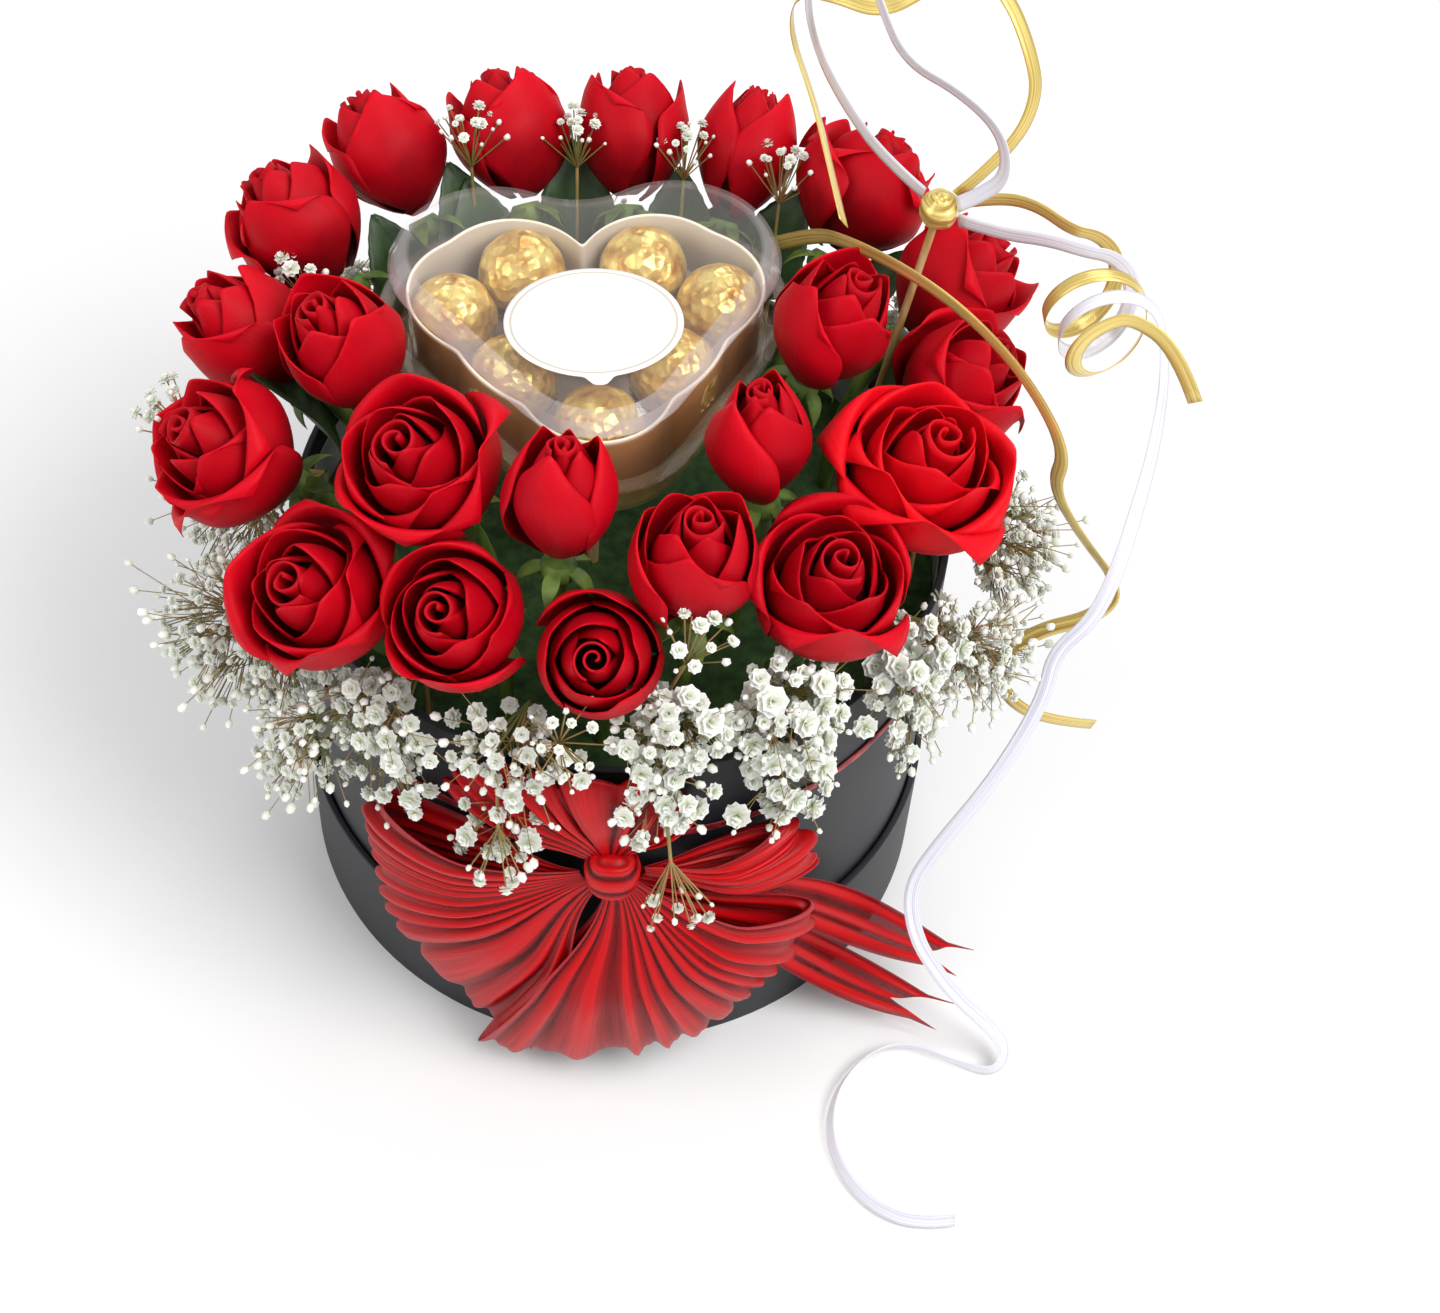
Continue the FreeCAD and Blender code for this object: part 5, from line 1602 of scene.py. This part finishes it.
    def waist_shape(self) -> Shape:
        """The narrow ribbon: a flat oval section carried round the drum on a tilted ring, rolled a
        little so that its width twists.

        Returns:
            The ribbon round the drum.
        """
        bearing = np.linspace(0.0, 2 * np.pi, 240, endpoint=False)[None, :]
        angle = np.linspace(0.0, 2 * np.pi, 12, endpoint=False)[:, None]
        wide = self.waist_half + 0.25 * np.sin(23 * bearing)
        reach = DRUM_RADIUS + 0.55 + 0.42 * np.cos(angle)
        level = self.waist_rise + reach * np.cos(bearing) * np.tan(np.radians(self.waist_tilt))
        level = level + wide * np.sin(angle)
        points = polar(reach, bearing, level)
        return closed_rings(np.concatenate([points, points[:1]])[::-1])

    def build(self) -> None:
        """Makes loops, tails, knot and the ribbon round the drum."""
        for number, loop in enumerate(self.loops, start=1):
            piece = make_piece(loop.name + "_cloth", self.loop_shape(loop, number), [RED_ORGANZA],
                               [loop.name] if loop.solid else [])
        for number, tail in enumerate(self.tails, start=11):
            piece = make_piece(tail.name + "_cloth", self.tail_shape(tail, number), [RED_ORGANZA],
                               [tail.name])
        knot = make_piece("bow_knot_cloth", self.knot_shape(), [RED_ORGANZA], ["bow_knot"])
        make_piece("waist_ribbon_cloth", self.waist_shape(), [RED_CORD], ["waist_ribbon"])


# Gift ribbons


@dataclass
class GiftRibbon:
    """A curled ribbon: its route, real length, far end, finish, slot and the rolls of its width."""

    name: str
    route: Array
    length: float
    far_end: str
    finish: Finish
    slot: str
    rolls: tuple[float, ...] = (0.0, 0.0)


@dataclass
class GiftRibbons:
    """Curled ribbons tied in one knot on the right."""

    width: float = 5.0
    thickness: float = 0.45
    knot: tuple[float, float, float] = (94.0, 39.0, 257.0)
    knot_radius: float = 6.5
    curl_start: tuple[float, float, float] = (134.0, 26.0, 246.0)
    curl_end: tuple[float, float, float] = (148.0, -14.0, 250.0)
    curl_radius: float = 15.0
    curl_turns: float = 2.0
    points_per_turn: int = 12

    def curl(self, first: float, last: float, phase: float) -> Array:
        """Control points of a loose curl: a circle carried along the curl's middle line.

        Args:
            first: turns at the start.
            last: turns at the end.
            phase: angle of the start, in radians.

        Returns:
            Points in millimetres.
        """
        start, end = np.array(self.curl_start), np.array(self.curl_end)
        axis = unit(end - start)
        high = unit(np.array([0, 0, 1.0]) - axis * axis[2])
        left = np.cross(axis, high)
        turn = first + np.arange(round((last - first) * self.points_per_turn) + 1) / self.points_per_turn
        angle = (phase - 2 * np.pi * turn)[:, None]
        middle = start + (end - start) * (turn / self.curl_turns)[:, None]
        return middle + self.curl_radius * (high * np.cos(angle) + left * np.sin(angle))

    def ribbons(self) -> list[GiftRibbon]:
        """Routes of the solids, each from where the ribbon leaves the knot or the roses.

        Returns:
            The five ribbons.
        """
        gold_long = np.array([
            (46, 72, 208), (58, 57, 228), (66, 31, 250), (84, 4, 263), (101, -14, 263),
            (118, -28, 252), (131, -38, 233), (130, -33, 212), (142, -36, 192), (157, -43, 176),
            (151, -42, 160), (134, -40, 150), (121, -44, 138), (128, -52, 126), (142, -54, 120),
            (157, -52, 116)])
        gold_loop = np.array([
            (64, 28, 260), (61, 52, 259), (56, 78, 264), (47, 94, 279), (48, 90, 298), (58, 77, 307),
            (73, 70, 306), (87, 72, 316), (100, 76, 320), (110, 71, 313), (117, 62, 302), (121, 54, 290),
            (114, 46, 275), (98.9, 40.8, 261.4)])[::-1]
        white_loop = np.array([
            (89, 42.35, 260.35), (77, 53, 264), (66, 70, 268), (57, 90, 272), (52, 102, 284), (54, 104, 300),
            (60, 96, 314), (66, 80, 322), (71, 64, 314), (79, 53, 302), (96, 46, 297), (109, 38, 289),
            (112, 33, 276), (104, 35, 266), (98.8, 36.6, 261.3)])
        gold_curl = np.concatenate([
            [(100.35, 39.5, 259.55), (112, 40, 262), (123, 36, 263)], self.curl(0.0, 2.0, 0.0),
            [(161, -19, 259), (168, -28, 246)]])
        white_tail = np.concatenate([
            [(99.75, 35.25, 256.4), (112, 28, 258), (125, 21, 263)], self.curl(0.5, 1.75, np.pi),
            [(162, -14, 237), (160, -27, 221), (156, -39, 208), (152, -50, 195), (146, -59, 180),
             (136, -60, 165), (135, -65, 149), (128, -73, 133), (119, -80, 115), (107, -87, 96),
             (98, -94, 80), (101, -103, 64), (110, -109, 50), (120, -112, 36), (130, -111, 21),
             (139, -114, 9), (135, -122, 4.2), (120, -117, 4), (104, -110, 4), (90, -115, 4),
             (79, -129, 4), (76, -146, 4), (81, -162, 4), (92, -174, 4), (106, -179, 4),
             (118, -177, 4)]])
        return [
            GiftRibbon("ribbon_gold_long", gold_long, 0.333, "bare", GOLD_RIBBON, "gold_ribbon"),
            GiftRibbon("ribbon_gold_loop", gold_loop, 0.237, "bare", GOLD_RIBBON, "gold_ribbon"),
            GiftRibbon("ribbon_white_loop", white_loop, 0.231, "object", WHITE_RIBBON, "white_ribbon"),
            GiftRibbon("ribbon_gold_curl", gold_curl, 0.257, "bare", GOLD_RIBBON, "gold_ribbon"),
            GiftRibbon("ribbon_white_tail", white_tail, 0.602, "bare", WHITE_RIBBON, "white_ribbon",
                       (0, 0, 0, 45, 85, 80, 85, 60, 15, 0, 0)),
        ]

    def rows(self, ribbon: GiftRibbon) -> tuple[Array, Array]:
        """Middle points and width directions, read from the route's NURBS spline drawn out to a strip,
        the width then rolled about the route by angles given at even steps.

        Args:
            ribbon: the ribbon, whose route gives the spline's control points.

        Returns:
            Middle points and unit width directions, in millimetres.
        """
        line = bpy.data.curves.new(ribbon.name + "_line", "CURVE")
        line.dimensions = "3D"
        spline = line.splines.new("NURBS")
        spline.points.add(len(ribbon.route) - 1)
        weighted = np.concatenate([ribbon.route * MM, np.ones((len(ribbon.route), 1))], axis=1)
        spline.points.foreach_set("co", weighted.ravel())
        spline.order_u = 3
        spline.use_endpoint_u = True
        spline.resolution_u = 8
        line.extrude = 0.5 * self.width * MM
        holder = bpy.data.objects.new(ribbon.name + "_line", line)
        strip = bpy.data.meshes.new_from_object(holder)
        flat = np.empty(3 * len(strip.vertices), np.float32)
        strip.vertices.foreach_get("co", flat)
        pairs = flat.astype(float).reshape(-1, 2, 3) / MM
        bpy.data.objects.remove(holder)
        bpy.data.curves.remove(line)
        bpy.data.meshes.remove(strip)
        middle, across = pairs.mean(1), unit(pairs[:, 1] - pairs[:, 0])
        run = distance_along(middle)
        given = np.linspace(0.0, run[-1], len(ribbon.rolls))
        roll = np.radians(np.interp(run, given, ribbon.rolls))[:, None]
        lift = np.cross(unit(np.gradient(middle, axis=0)), across)
        return middle, across * np.cos(roll) + lift * np.sin(roll)

    def strip_shape(self, middle: Array, across: Array) -> Shape:
        """A flat strip: five points across the width at each middle point, thinnest at its edges.

        Args:
            middle: points along the ribbon.
            across: width direction at each point.

        Returns:
            The strip, in place.
        """
        side = np.linspace(-1.0, 1.0, 5)
        points = middle[:, None] + 0.5 * self.width * across[:, None] * side[None, :, None]
        run = distance_along(middle)
        uv = uv_grid(0.5 + 0.5 * side[None, :], MM * run[:, None])
        return shell(points[None], self.thickness * (1 - 0.5 * np.abs(side)), uv[None])

    def knot_shape(self) -> Shape:
        """Knot of the ribbons: a ball whose radius is creased by turns of ribbon round two axes.

        Returns:
            The knot, with a UV for its streaks.
        """
        lat, lon, ray = ball_rays(32, 48)
        crease = 0.93 + 0.05 * np.sin(7 * lat + 2 * np.sin(lon)) + 0.02 * np.sin(5 * lon)
        points = ray * (self.knot_radius * crease)[..., None] + np.array(self.knot)
        ball = closed_rings(points[::-1])
        ball.uv = uv_grid(lat[::-1] / np.pi, lon / 20).reshape(-1, 2)
        return ball

    def build(self) -> None:
        """Makes each ribbon as a strip, and their knot."""
        for ribbon in self.ribbons():
            middle, across = self.rows(ribbon)
            piece = make_piece(ribbon.name + "_strip", self.strip_shape(middle, across), [ribbon.finish],
                               [ribbon.name])
        make_piece("ribbon_knot_turns", self.knot_shape(), [GOLD_RIBBON], ["ribbon_knot"])


def main() -> None:
    """Builds the studio and every part of the flower box."""
    logging.basicConfig(level=logging.INFO, format="%(message)s")
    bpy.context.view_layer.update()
    Studio().build()
    GiftRibbons().build()
    HatBox().dress()
    ChocolateHeart().build()
    RoseBed().build()
    RoseLeaves().build()
    BabysBreath().build()
    SheerBow().build()


if __name__ == "__main__":
    main()
